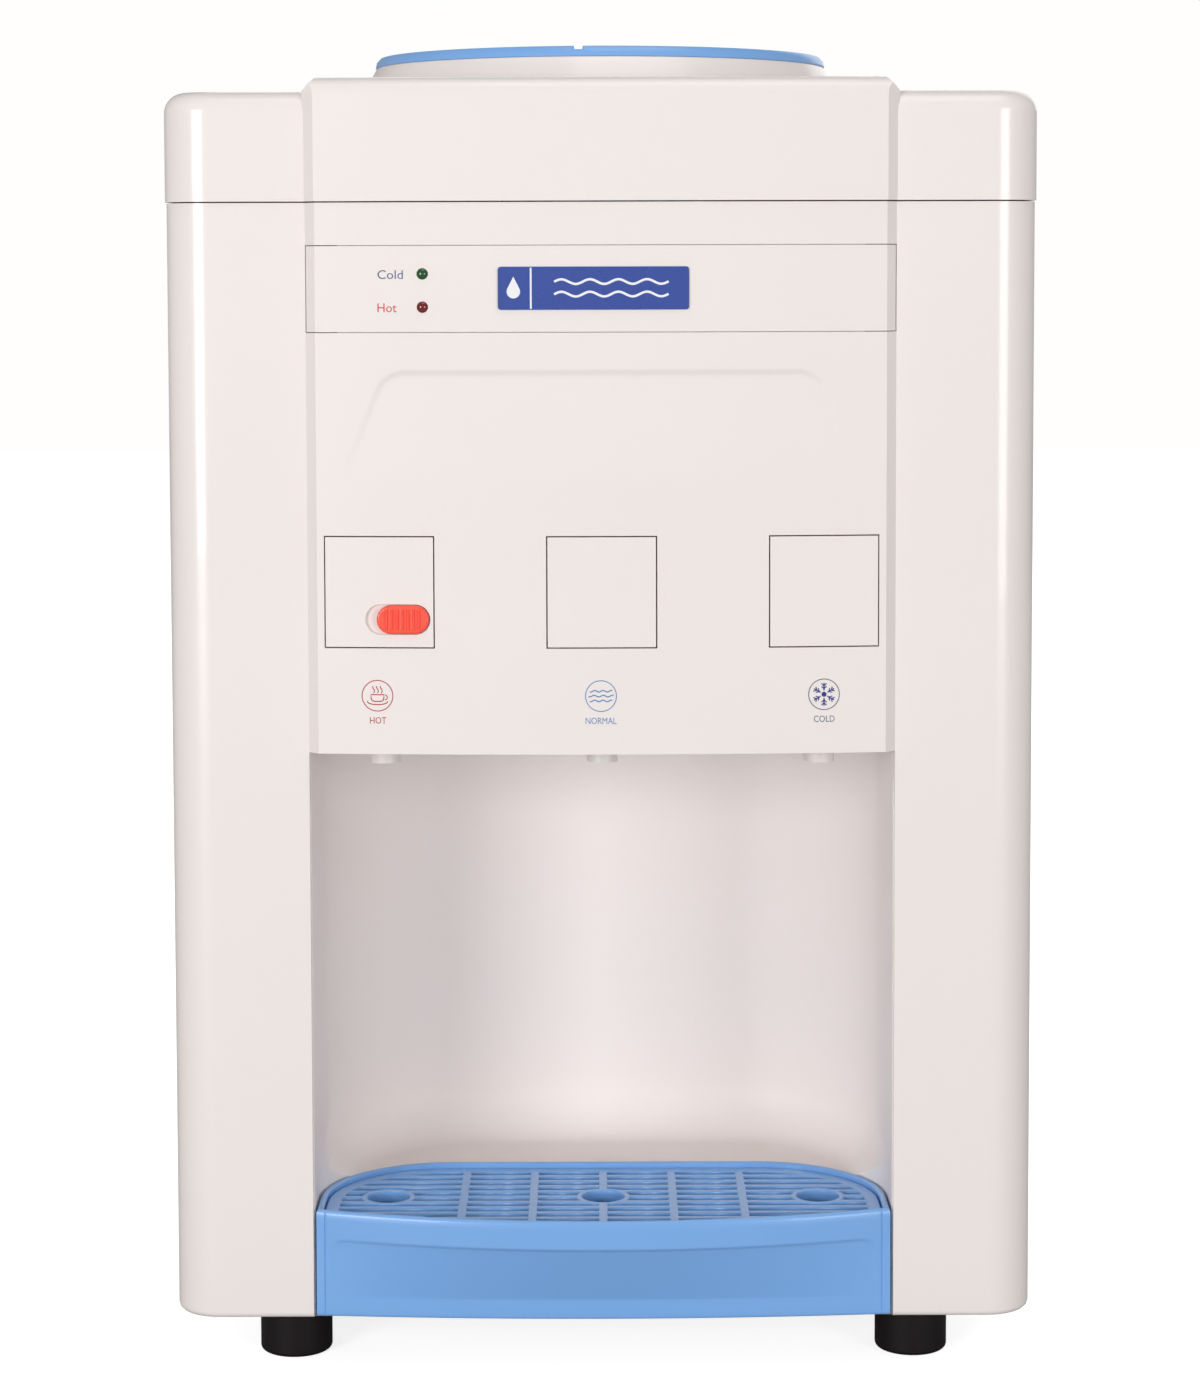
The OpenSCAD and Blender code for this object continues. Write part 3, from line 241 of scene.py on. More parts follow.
def skin(name, colour, roughness, drift=0.03, smudge=0.08, peel=700, depth=0.02, metallic=0.0,
         coat=0.0, shine=0.5):
    """Material on the moulded skin group; depth is the height of its peel in millimetres."""
    material = bpy.data.materials.new(name)
    material.use_nodes = True
    material.diffuse_color = (*colour, 1)
    made = material.node_tree.nodes
    link = material.node_tree.links.new
    shader = made["Principled BSDF"]
    surface = made.new("ShaderNodeGroup")
    surface.node_tree = moulded_skin
    surface.inputs["Colour"].default_value = (*colour, 1)
    surface.inputs["Drift"].default_value = drift
    surface.inputs["Roughness"].default_value = roughness
    surface.inputs["Smudge"].default_value = smudge
    surface.inputs["Peel Scale"].default_value = peel
    bump = made.new("ShaderNodeBump")
    bump.inputs["Strength"].default_value = 0.5
    bump.inputs["Distance"].default_value = depth * mm
    link(surface.outputs["Colour"], shader.inputs["Base Color"])
    link(surface.outputs["Roughness"], shader.inputs["Roughness"])
    link(surface.outputs["Height"], bump.inputs["Height"])
    link(bump.outputs["Normal"], shader.inputs["Normal"])
    shader.inputs["Metallic"].default_value = metallic
    shader.inputs["Coat Weight"].default_value = coat
    shader.inputs["Specular IOR Level"].default_value = shine
    return material


def place_piece(name, mesh, material, body, slot, *stands_for):
    """Links a finished mesh as a piece that rides on a body."""
    piece = bpy.data.objects.new(name, mesh)
    bpy.context.scene.collection.objects.link(piece)
    mesh.materials.clear()
    mesh.materials.append(material)
    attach(piece, body)
    if stands_for:
        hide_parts(*stands_for)
    return piece


def shade(mesh, turn):
    """Smooth faces, with creases wherever neighbours turn by more than turn degrees."""
    work = bmesh.new()
    work.from_mesh(mesh)
    for face in work.faces:
        face.smooth = True
    for edge in work.edges:
        edge.smooth = len(edge.link_faces) == 2 and edge.calc_face_angle(0) < radians(turn)
    work.to_mesh(mesh)
    work.free()


def break_edges(piece, width, turn):
    """Rounds a piece's edges by a small radius, leaving its flat faces flat."""
    edge = piece.modifiers.new("edge", "BEVEL")
    edge.width = width * mm
    edge.segments = 2
    edge.limit_method = "ANGLE"
    edge.angle_limit = radians(turn)
    edge.miter_outer = "MITER_ARC"
    edge.harden_normals = True
    even_out = piece.modifiers.new("even_out", "WEIGHTED_NORMAL")
    even_out.keep_sharp = True


def baked(piece):
    """The piece's mesh with its modifiers applied."""
    bpy.context.view_layer.update()
    view = piece.evaluated_get(bpy.context.evaluated_depsgraph_get())
    mesh = bpy.data.meshes.new_from_object(view)
    name = piece.name
    bpy.data.objects.remove(piece)
    mesh.name = name
    return mesh


body_front = -147.75
side_x = 170
wing_round = 18
panel_half, panel_bow = 110.5, 4.6
panel_front = body_front - 8.6
panel_round = (panel_half**2 + panel_bow**2) / (2 * panel_bow)
shell_low, panel_low, shell_top = 23, 249, 463
strip_low, strip_top = 412.8, 446.6
button_low, button_top, button_half = 290.4, 334.2, 21.5
button_places = (-86.3, 0, 86.3)
relief_low, relief_top, relief_depth_top = 356, 398, 0.85
off_white = (0.86, 0.80, 0.775)
glossy_white = skin(
    "glossy_white", off_white, 0.24, drift=0.02, smudge=0.05, peel=420, depth=0.012, coat=0.25
)


def bow(x):
    """Depth of the centre panel's face at x, in millimetres."""
    return panel_front + panel_round - sqrt(panel_round**2 - x * x)


def even(low, high, step):
    """Values from low to high, evenly spaced and about step apart."""
    count = max(1, round((high - low) / step))
    return [low + (high - low) * i / count for i in range(count + 1)]


def relief_depth(x, z):
    """How deep the relief over the buttons lies at a point of the panel."""
    if z < relief_low or z > relief_top:
        return 0
    side = (101 - (z - relief_low) * 0.405 - abs(x)) * 0.927
    top = relief_top - z
    corner = 7
    inside = min(side, top)
    if side < corner and top < corner:
        inside = corner - hypot(corner - side, corner - top)
    rise = min(1, max(0, inside / 1.4))
    share = (z - relief_low) / (relief_top - relief_low)
    return relief_depth_top * share * rise * rise * (3 - 2 * rise)


def front_outline():
    """Plan of the shell from the left joint round to the right one: x, y and outward direction."""
    left = [(-side_x, y, -1, 0) for y in even(body_front + 62, body_front + wing_round, 8.8)[:-1]]
    for turn in range(0, 91, 6):
        u, v = -cos(radians(turn)), -sin(radians(turn))
        left.append((wing_round - side_x + wing_round * u, body_front + wing_round + wing_round * v, u, v))
    left += [(x, body_front, 0, -1) for x in even(wing_round - side_x, -114.5, 6.25)[1:]]
    rim = [-panel_half, -110.2, -109.6]
    flank = even(-107.8, -64.8, 1.0) + even(-64.8, -button_half, 1.0)[1:]
    xs = rim + flank + even(-button_half, button_half, 1.0)[1:]
    xs += [-x for x in reversed(flank[:-1])] + [-x for x in reversed(rim)]
    centre = [(x, bow(x), x / panel_round, -1) for x in xs]
    return left, centre, [(-x, y, -u, v) for x, y, u, v in reversed(left)]


def front_shell_mesh():
    left, centre, right = front_outline()
    columns = left + centre + right
    rows = [shell_low, 23.35, 24.2, 25.5] + even(25.5, panel_low, 24.8) + even(panel_low, button_low, 8.3)
    rows += [button_top] + even(button_top, relief_low, 7.3) + even(relief_low, 400, 1.0)
    rows += [strip_low, strip_top, shell_top]
    rows = sorted(set(round(z, 4) for z in rows))
    first = len(left)
    last = first + len(centre) - 1
    work = bmesh.new()
    grid = []
    for z in rows:
        tuck = 0 if z >= 25.5 else 2.5 - sqrt(max(0, 2.5**2 - (25.5 - z) ** 2))
        line = []
        for i, (x, y, u, v) in enumerate(columns):
            sunk = relief_depth(x, z) if first <= i <= last else 0
            line.append(work.verts.new(((x - u * tuck) * mm, (y - v * tuck + sunk) * mm, z * mm)))
        grid.append(line)
    for j in range(len(rows) - 1):
        low, high = rows[j], rows[j + 1]
        for i in range(len(columns) - 1):
            on_panel = first - 1 <= i <= last
            x = (columns[i][0] + columns[i + 1][0]) / 2
            if on_panel and (high <= panel_low or (low >= strip_low and high <= strip_top)):
                continue
            beside = min(abs(x - place) for place in button_places)
            if button_low <= low and high <= button_top and on_panel and beside < button_half:
                continue
            work.faces.new((grid[j][i], grid[j][i + 1], grid[j + 1][i + 1], grid[j + 1][i]))
    loose = [v for v in work.verts if not v.link_faces]
    bmesh.ops.delete(work, geom=loose, context="VERTS")
    mesh = bpy.data.meshes.new("front_shell_skin")
    work.to_mesh(mesh)
    work.free()
    shade(mesh, 34)
    piece = bpy.data.objects.new("front_shell_skin", mesh)
    bpy.context.scene.collection.objects.link(piece)
    wall = piece.modifiers.new("wall", "SOLIDIFY")
    wall.thickness = 2.4 * mm
    wall.offset = -1
    wall.use_even_offset = True
    break_edges(piece, 0.22, 40)
    return baked(piece)


place_piece("front_shell_skin", front_shell_mesh(), glossy_white, "cabinet", "white_plastic", "front_shell")

# ---- Top cover -------------------------------------------------------------
# A deep moulded lid in the same glossy white, with rounded upper edges, a raised
# centre pad and a conical collar that carries the bottle seat.


def softened(name, node, width, material, slot, turn=32, join=True):
    """A machined CAD piece with its edges broken by a small radius and its faces smoothed.

    join merges the small flat faces; a sheet with rows of slots keeps them."""
    mesh = nodes[node].data.copy()
    work = bmesh.new()
    work.from_mesh(mesh)
    bmesh.ops.remove_doubles(work, verts=work.verts, dist=0.004 * mm)
    if join:
        bmesh.ops.dissolve_limit(work, angle_limit=radians(0.5), verts=work.verts, edges=work.edges)
    work.to_mesh(mesh)
    work.free()
    shade(mesh, turn)
    piece = bpy.data.objects.new(name, mesh)
    bpy.context.scene.collection.objects.link(piece)
    break_edges(piece, width, turn)
    return place_piece(name, baked(piece), material, nodes[node]["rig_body"], slot, node)


softened("top_cover_moulding", "top_cover", 0.4, glossy_white, "white_plastic", 28)

# ---- Side, rear and base sheets ---------------------------------------------
# The sides are painted steel sheets with pressed louvres low at the back; the rear
# sheet and the base pan are plain zinc-plated steel.

painted_side = skin("painted_side", (0.83, 0.77, 0.745), 0.32, drift=0.02, peel=260, depth=0.02, coat=0.1)
zinc = skin(
    "zinc_sheet", (0.42, 0.43, 0.45), 0.42, drift=0.16, smudge=0.2, peel=160, depth=0.02, metallic=0.85
)
softened("left_side_sheet", "left_side_panel", 0.2, painted_side, "side_paint", join=False)
softened("right_side_sheet", "right_side_panel", 0.2, painted_side, "side_paint", join=False)
softened("rear_sheet", "rear_panel", 0.15, zinc, "zinc_steel", join=False)
softened("base_sheet", "base_pan", 0.15, zinc, "zinc_steel", join=False)

# ---- Niche liner -----------------------------------------------------------
# A white moulded alcove with round upright corners and a coved floor, cut out in
# front for the drip tray.

# The liner's white is a little whiter than the cabinet's own plastic, and is raised further as painted
# light that fills the niche's shade.
liner_white_and_painted_fill = skin("liner_white_and_painted_fill", (0.885, 0.83, 0.81), 0.5, drift=0.02, peel=500, depth=0.012, shine=0.3)
softened("niche_alcove", "niche_liner", 0.5, liner_white_and_painted_fill, "liner_plastic")

# ---- Display strip ---------------------------------------------------------
# A loose moulding let into the panel, wrapped round its edges. It carries two small
# lamps, the words beside them and a plain blue plate.

softened("display_band", "display_strip", 0.35, glossy_white, "white_plastic")
plate_blue = skin("plate_blue", (0.035, 0.075, 0.34), 0.28, drift=0.05, peel=500, depth=0.01, coat=0.3)
softened("blue_plate", "badge_plate", 0.2, plate_blue, "badge_blue")
lamp_green = skin("lamp_green", (0.012, 0.085, 0.025), 0.12, drift=0.4, coat=0.6)
lamp_red = skin("lamp_red", (0.17, 0.012, 0.012), 0.12, drift=0.4, coat=0.6)
softened("green_lamp", "cold_led", 0.1, lamp_green, "led_green")
softened("red_lamp", "hot_led", 0.1, lamp_red, "led_red")

# ---- Printed marks ---------------------------------------------------------
# Pad-printed ink a few hundredths of a millimetre thick: the words Cold and Hot on
# the strip, a round pictogram and its word under each button, and a plain drop and
# wave on the plate.


def inked_point(work, x, z, lift):
    """A point of ink lift millimetres proud of the bowed panel."""
    return work.verts.new((x * mm, (bow(x) - lift) * mm, z * mm))


def ink(name, colour):
    """Pad-printing ink, slightly uneven in colour."""
    return skin(name, colour, 0.35, drift=0.08, peel=900, depth=0.004)


def ribbon(work, points, width, lift, closed=False):
    """A flat stroke of ink through points (x, z), in millimetres."""
    count = len(points)
    pairs = []
    for i, (x, z) in enumerate(points):
        if closed:
            a, b = points[i - 1], points[(i + 1) % count]
        else:
            a, b = points[max(0, i - 1)], points[min(count - 1, i + 1)]
        along = Vector((b[0] - a[0], b[1] - a[1])).normalized()
        side = Vector((-along.y, along.x)) * width / 2
        pair = []
        for s in (1, -1):
            pair.append(inked_point(work, x + s * side.x, z + s * side.y, lift))
        pairs.append(pair)
    for i in range(count if closed else count - 1):
        a, b = pairs[i], pairs[(i + 1) % count]
        work.faces.new((a[0], a[1], b[1], b[0]))


def patch(work, points, lift):
    """A filled area of ink with its outline through points (x, z)."""
    ring = [inked_point(work, x, z, lift) for x, z in points]
    bmesh.ops.triangulate(work, faces=[work.faces.new(ring)])


def circle(cx, cz, r, n=48, start=0, end=360):
    count = n if end - start == 360 else n + 1
    turns = [radians(start + (end - start) * i / n) for i in range(count)]
    return [(cx + r * cos(turn), cz + r * sin(turn)) for turn in turns]


def inked(name, work, material):
    """Turns flat strokes into a thin closed layer of ink facing the front."""
    mesh = bpy.data.meshes.new(name)
    for face in work.faces:
        face.normal_update()
        if face.normal.y > 0:
            face.normal_flip()
    work.to_mesh(mesh)
    work.free()
    piece = bpy.data.objects.new(name, mesh)
    bpy.context.scene.collection.objects.link(piece)
    film = piece.modifiers.new("film", "SOLIDIFY")
    film.thickness = 0.04 * mm
    film.offset = -1
    return place_piece(name, baked(piece), material, "cabinet", "white_plastic")


def word(work, text, x, z, size, lift, width):
    """Lettering of a given height and width, centred on x with its foot at z."""
    letters = bpy.data.curves.new("letters", "FONT")
    letters.body = text
    letters.size = 1
    letters.align_x = "CENTER"
    letters.resolution_u = 3
    carrier = bpy.data.objects.new("letters", letters)
    bpy.context.scene.collection.objects.link(carrier)
    flat = baked(carrier)
    high = max(v.co.y for v in flat.vertices)
    left = min(v.co.x for v in flat.vertices)
    right = max(v.co.x for v in flat.vertices)
    made = []
    for v in flat.vertices:
        px = x + ((v.co.x - left) / (right - left) - 0.5) * width
        pz = z + v.co.y * size / high
        made.append(inked_point(work, px, pz, lift))
    for p in flat.polygons:
        work.faces.new([made[i] for i in p.vertices])
    bpy.data.meshes.remove(flat)


red_ink = ink("red_ink", (0.42, 0.02, 0.03))
sky_ink = ink("sky_ink", (0.10, 0.25, 0.55))
navy_ink = ink("navy_ink", (0.022, 0.04, 0.24))
grey_ink = ink("grey_ink", (0.12, 0.15, 0.24))
slate_ink = ink("slate_ink", (0.07, 0.13, 0.27))
white_ink = ink("white_ink", (0.85, 0.86, 0.88))
coral_ink = ink("coral_ink", (0.66, 0.06, 0.05))

hairline, flat_lift, plate_lift = 0.36, 0.05, 0.86
icon_z, icon_round = 271.9, 6.0

# Hot: a steaming cup on its saucer
work = bmesh.new()
cup_x = -87.3
ribbon(work, circle(cup_x, icon_z, icon_round), hairline, flat_lift, closed=True)
for dx in (-1.5, 0, 1.5):
    rise = [k / 10 for k in range(11)]
    steam = [(cup_x + dx + 0.35 * sin(t * 5.2), icon_z + 1.0 + t * 2.8) for t in rise]
    ribbon(work, steam, hairline, flat_lift)
half_bowl = [(2.5, 0.4), (2.5, -0.9), (2.1, -1.9), (1.2, -2.2)]
bowl = [(cup_x - dx, icon_z + dz) for dx, dz in half_bowl]
bowl += [(cup_x + dx, icon_z + dz) for dx, dz in reversed(half_bowl)]
ribbon(work, bowl, 0.42, flat_lift, closed=True)
ribbon(work, circle(cup_x + 2.9, icon_z - 0.6, 0.95, 14, -95, 95), 0.34, flat_lift)
saucer = circle(0, 0, 1, 20, 170, 370)
ribbon(work, [(cup_x + 3.9 * x, icon_z - 2.35 + 1.15 * z) for x, z in saucer], 0.4, flat_lift)
word(work, "HOT", cup_x + 0.2, 261.0, 2.5, flat_lift, 6.4)
inked("hot_print", work, red_ink)

# Normal: three waves
work = bmesh.new()
wave_x = -0.4
ribbon(work, circle(wave_x, icon_z, icon_round), hairline, flat_lift, closed=True)
for dz, reach in ((1.9, 4.4), (0, 4.9), (-1.9, 4.4)):
    steps = [k / 20 - 1 for k in range(41)]
    run = [(wave_x + reach * t, icon_z + dz + 0.32 * sin(t * 8.6)) for t in steps]
    ribbon(work, run, 0.48, flat_lift)
word(work, "NORMAL", wave_x, 261.0, 2.5, flat_lift, 12)
inked("normal_print", work, sky_ink)

# Cold: a six-armed flake
work = bmesh.new()
flake = Vector((86.3, icon_z + 0.1))
patch(work, circle(*flake, 1.0, 20), flat_lift)
for k in range(6):
    turn = radians(30 + 60 * k)
    out = Vector((cos(turn), sin(turn)))
    side = Vector((-out.y, out.x))
    ribbon(work, [tuple(flake + out * 1.5), tuple(flake + out * 4.5)], 0.5, flat_lift)
    for s in (-1, 1):
        for root in (2.2, 3.3):
            tip = flake + out * (root + 0.95) + side * s
            ribbon(work, [tuple(flake + out * root), tuple(tip)], 0.42, flat_lift)
inked("cold_print", work, navy_ink)
work = bmesh.new()
ribbon(work, circle(*flake, icon_round), hairline, flat_lift, closed=True)
word(work, "COLD", flake.x + 0.1, 261.2, 2.5, flat_lift, 8.1)
inked("cold_ring_print", work, grey_ink)

work = bmesh.new()
word(work, "Cold", -81.2, 433.6, 3.4, flat_lift, 9.8)
inked("cold_word", work, slate_ink)
work = bmesh.new()
word(work, "Hot", -82.5, 420.8, 3.4, flat_lift, 7.4)
inked("hot_word", work, coral_ink)

# Plate: a drop on the left, a rule, and two waves on the right
work = bmesh.new()
drop_x, drop_z, drop_round = -33.7, 428.6, 2.6
drop = [(drop_x, 434.4)]
for turn in range(110, -119, -12):
    drop.append((drop_x + drop_round * sin(radians(turn)), drop_z - drop_round * cos(radians(turn))))
patch(work, drop, plate_lift)
ribbon(work, [(-27.0, 422.0), (-27.0, 437.8)], 0.7, plate_lift)
for dz in (-2.4, 2.4):
    steps = [k / 40 - 1 for k in range(81)]
    ribbon(work, [(4 + 22 * t, 430 + dz + 0.9 * sin(t * 12.6)) for t in steps], 0.9, plate_lift)
inked("plate_print", work, white_ink)

# ---- Push buttons and child lock --------------------------------------------
# Three square push buttons moulded in the cabinet's white, each with a hair of gap
# around it, and a ribbed orange slider set in the hot one.

button_white = skin(
    "button_white", off_white, 0.26, drift=0.015, smudge=0.05, peel=420, depth=0.012, coat=0.2
)
for tap in ("hot", "normal", "cold"):
    softened(tap + "_push_button", tap + "_button", 0.18, button_white, "white_plastic")
lock_orange = skin("lock_orange", (0.95, 0.095, 0.055), 0.30, drift=0.06, peel=600, depth=0.015, coat=0.2)
lock_x = -77.1
lock_place = (lock_x, bow(lock_x), 301.7)


def slider_mesh():
    """A pill with softened edges and seven upright finger ribs, on a neck and a keeper plate."""
    long, half = 10.2, 5.6
    columns = [-long, -10.17, -10.1] + even(-10, 10, 0.2) + [10.1, 10.17, long]
    rim_spans = [1, 0.985, 0.95, 0.9, 0.82, 0.71]
    spans = [-span for span in rim_spans] + even(-0.7, 0.7, 0.1) + rim_spans[::-1]
    work = bmesh.new()
    front, back = [], []
    for x in columns:
        past = max(0, abs(x) - long + half)
        reach = sqrt(max(0.01, half**2 - past**2))
        line, rear = [], []
        for span in spans:
            z = span * reach
            rim = min(0.8, max(0, half - hypot(past, z)))
            rounding = 0.8 - sqrt(max(0, 0.8**2 - (0.8 - rim) ** 2))
            off = min(abs(x - 2.1 * i) for i in range(-3, 4))
            rib = 0.55 * min(1, max(0, 0.62 - off) / 0.3) if abs(span) < 0.705 and abs(x) < 7 else 0
            line.append(work.verts.new((x, rounding - rib - 1.6, z)))
            rear.append(work.verts.new((x, 1.4, z)))
        front.append(line)
        back.append(rear)
    for grid in (front, back):
        for a, b in zip(grid, grid[1:]):
            for i in range(len(spans) - 1):
                work.faces.new((a[i], b[i], b[i + 1], a[i + 1]))
    for k in range(len(columns) - 1):
        for i in (0, -1):
            work.faces.new((front[k][i], front[k + 1][i], back[k + 1][i], back[k][i]))
    for i in range(len(spans) - 1):
        for k in (0, -1):
            work.faces.new((front[k][i], front[k][i + 1], back[k][i + 1], back[k][i]))
    for size, depth in (((6, 3, 5), 2.8), ((11, 1.2, 8), 4.3)):
        shape = Matrix.Translation((0, depth, 0)) @ Matrix.Diagonal((*size, 1))
        block = bmesh.ops.create_cube(work, size=1, matrix=shape)
        edges = {e for v in block["verts"] for e in v.link_edges}
        bmesh.ops.bevel(work, geom=list(edges), offset=0.25, segments=2, affect="EDGES")
    bmesh.ops.recalc_face_normals(work, faces=work.faces)
    tilt = Matrix.Rotation(asin(lock_x / panel_round), 4, "Z")
    work.transform(Matrix.Scale(mm, 4) @ Matrix.Translation(lock_place) @ tilt)
    mesh = bpy.data.meshes.new("lock_slider_moulding")
    work.to_mesh(mesh)
    work.free()
    shade(mesh, 35)
    return mesh


slider = slider_mesh()
place_piece("lock_slider_moulding", slider, lock_orange, "lock_slider", "orange_plastic", "child_lock")

# ---- Drip tray and grate -----------------------------------------------------
# Sky-blue mouldings: a bowed basin with a leaning middle band, and a loose grate of
# thin bars with five ribs and three splash holes.

sky_blue = skin(
    "sky_blue", (0.195, 0.415, 0.80), 0.30, drift=0.04, smudge=0.08, peel=420, depth=0.015, coat=0.15
)
tray_half = 113.3
tray_fold = (32.5, 56)
rim_sweep, foot_sweep = 370, 1230


def tray_loop(inset, z):
    """Outline of the tray at a height, drawn in by inset: back corners, sides and bowed front."""
    half, back, corner = tray_half - inset, body_front + 68 - inset, 50 - inset
    loop = []
    for turns, centre in ((range(0, 91, 5), half - corner), (range(90, 181, 5), corner - half)):
        for turn in turns:
            reach = corner * sin(radians(turn))
            loop.append((centre + corner * cos(radians(turn)), back - corner + reach))
    loop.append((-half, body_front + 8))
    lean = min(1, max(0, (z - tray_fold[0]) / (tray_fold[1] - tray_fold[0])))
    ends = [-1, -0.995, -0.985, -0.972, -0.9705, -0.966, -0.963, -0.955]
    ends += [-0.95, -0.94, -0.93, -0.92, -0.91, -0.9]
    steps = ends + even(-0.9, 0.9, 0.02)[1:-1] + [-t for t in reversed(ends)]
    for t in steps:
        x = t * half
        upper = body_front - 18.5 + rim_sweep - sqrt((rim_sweep - inset) ** 2 - x * x)
        lower = body_front - 6.8 + foot_sweep - sqrt((foot_sweep - inset) ** 2 - x * x)
        y = lower + (upper - lower) * lean
        if inset == 0:
            y += band_sunk(x, z) + (0.35 if abs(abs(t) - 0.9705) < 0.001 else 0)
        loop.append((x, y))
    loop.append((half, body_front + 8))
    return loop


def band_sunk(x, z):
    """Depth of the tray's middle band, which fades out downwards and has round upper corners."""
    side, rise = 107.5 - abs(x), tray_fold[1] - z
    inside = min(side, rise)
    if side < 6 and rise < 6:
        inside = 6 - hypot(6 - side, 6 - rise)
    step = min(1, max(0, inside / 1.4))
    return 0.6 * max(0, (z - tray_fold[0]) / 23.5) * step * step * (3 - 2 * step)


def tray_mesh():
    outside = [24.4, 24.7, 25.2, 26] + even(26, 31.6, 2.8)[1:] + even(31.6, 34.4, 0.4)[1:]
    outside += even(34.4, 54.2, 1.8)[1:] + even(54.2, 57, 0.4)[1:] + [60, 63, 65.4]
    rows = [(1.2 - sqrt(max(0, 1.2**2 - max(0, 25.6 - z) ** 2)), z) for z in outside]
    rows += [(0.25, 66.2), (0.6, 66.75), (1.0, 67), (1.6, 67), (2.1, 66.75), (2.6, 66.2), (2.6, 62.2)]
    rows += [(3.0, 61.9), (4.6, 61.9), (5.0, 61.5), (5.0, 30), (5.8, 28), (8, 27), (14, 27)]
    work = bmesh.new()
    rings = []
    for inset, z in rows:
        rings.append([work.verts.new((x * mm, y * mm, z * mm)) for x, y in tray_loop(inset, z)])
    for low, high in zip(rings, rings[1:]):
        for i in range(len(low)):
            j = (i + 1) % len(low)
            work.faces.new((low[j], low[i], high[i], high[j]))
    ends = [work.faces.new(rings[0]), work.faces.new(rings[-1][::-1])]
    bmesh.ops.triangulate(work, faces=ends)
    bmesh.ops.recalc_face_normals(work, faces=work.faces)
    mesh = bpy.data.meshes.new("tray_moulding")
    work.to_mesh(mesh)
    work.free()
    shade(mesh, 40)
    return mesh


place_piece("tray_moulding", tray_mesh(), sky_blue, "tray", "blue_plastic", "drip_tray")


def plan_loops(work, height, up):
    """Closed outlines of the flat faces at a height that look up or down."""
    facing = [f for f in work.faces if f.normal.z * up > 0.99]
    flat = {f for f in facing if abs(f.calc_center_median().z - height) < 0.01 * mm}
    follows = {}
    for edge in work.edges:
        if sum(f in flat for f in edge.link_faces) == 1:
            for v in edge.verts:
                follows.setdefault(v, []).append(edge.other_vert(v))
    loops, left = [], set(follows)
    while left:
        start = left.pop()
        loop, last, here = [start], None, start
        while True:
            ahead = [v for v in follows[here] if v is not last][0]
            last, here = here, ahead
            if here is start:
                break
            loop.append(here)
            left.discard(here)
        kept = []
        for i, v in enumerate(loop):
            if (v.co - loop[i - 1].co).angle(loop[(i + 1) % len(loop)].co - v.co, 0) > 0.004:
                kept.append(v.co.xy)
        loops.append(kept)
    return loops


def rounded_plate(name, loops, low, high, edge):
    """A plate of the given outlines whose upper and lower edges are rounded over."""
    plan = bpy.data.curves.new(name, "CURVE")
    plan.dimensions = "2D"
    plan.fill_mode = "BOTH"
    for loop in loops:
        line = plan.splines.new("POLY")
        line.points.add(len(loop) - 1)
        for point, (x, y) in zip(line.points, loop):
            point.co = (x, y, 0, 1)
        line.use_cyclic_u = True
    plan.extrude = (high - low) / 2 - edge
    plan.bevel_depth = edge
    plan.bevel_resolution = 2
    plan.offset = -edge
    carrier = bpy.data.objects.new(name, plan)
    bpy.context.scene.collection.objects.link(carrier)
    mesh = baked(carrier)
    mesh.transform(Matrix.Translation((0, 0, (low + high) / 2)))
    return mesh


def grate_mesh():
    """The grate's top plate and the deeper bars under it, every edge rounded over."""
    work = bmesh.new()
    work.from_mesh(nodes["drip_grate"].data)
    bmesh.ops.remove_doubles(work, verts=work.verts, dist=0.004 * mm)
    top = max(v.co.z for v in work.verts)
    low = min(v.co.z for v in work.verts)
    plates = [
        rounded_plate("grate_top", plan_loops(work, top, 1), top - 3 * mm, top, 0.5 * mm),
        rounded_plate("grate_bars", plan_loops(work, low, -1), low, top - 2 * mm, 0.3 * mm),
    ]
    work.free()
    work = bmesh.new()
    for plate in plates:
        work.from_mesh(plate)
    bmesh.ops.remove_doubles(work, verts=work.verts, dist=0.002 * mm)
    for face in work.faces:
        face.smooth = abs(face.normal.z) < 0.995
    mesh = bpy.data.meshes.new("grate_moulding")
    work.to_mesh(mesh)
    work.free()
    return mesh


place_piece("grate_moulding", grate_mesh(), sky_blue, "grate", "blue_plastic", "drip_grate")

# ---- Bottle seat -------------------------------------------------------------
# A blue funnel with a flat flange that closes the collar, and a clear-white probe
# standing in its neck.

softened("bottle_funnel", "bottle_seat", 0.3, sky_blue, "blue_plastic")
milky = skin("milky_plastic", (0.74, 0.75, 0.75), 0.35, drift=0.03, peel=600)
softened("water_probe", "bottle_probe", 0.2, milky, "inner_plastic")

# ---- Feet ----------------------------------------------------------------
# Black rubber cups held by a screw from below.

foot_black = (0.012, 0.009, 0.010)
foot_rubber = skin("foot_rubber", foot_black, 0.5, drift=0.3, smudge=0.2, peel=900, depth=0.05, shine=0.18)
softened("rubber_feet", "feet", 0.3, foot_rubber, "rubber")

# ---- Taps ------------------------------------------------------------------
# Each tap is a moulded body whose nozzle hangs through the niche's ceiling.

tap_white = skin("tap_white", (0.80, 0.76, 0.73), 0.34, drift=0.03, peel=600)
for tap in ("hot", "normal", "cold"):
    softened(tap + "_tap_moulding", tap + "_tap_body", 0.3, tap_white, "inner_plastic")

# ---- Condenser -----------------------------------------------------------
# A serpentine steel tube with pairs of thin wires welded across it, all stove-enamelled
# black, standing a little way off the rear sheet.

black_paint = skin("black_paint", (0.016, 0.016, 0.017), 0.34, drift=0.15, peel=300, depth=0.03)
coil_y, coil_half, coil_foot, coil_pitch, coil_runs = 162.2, 128, 200, 22, 11


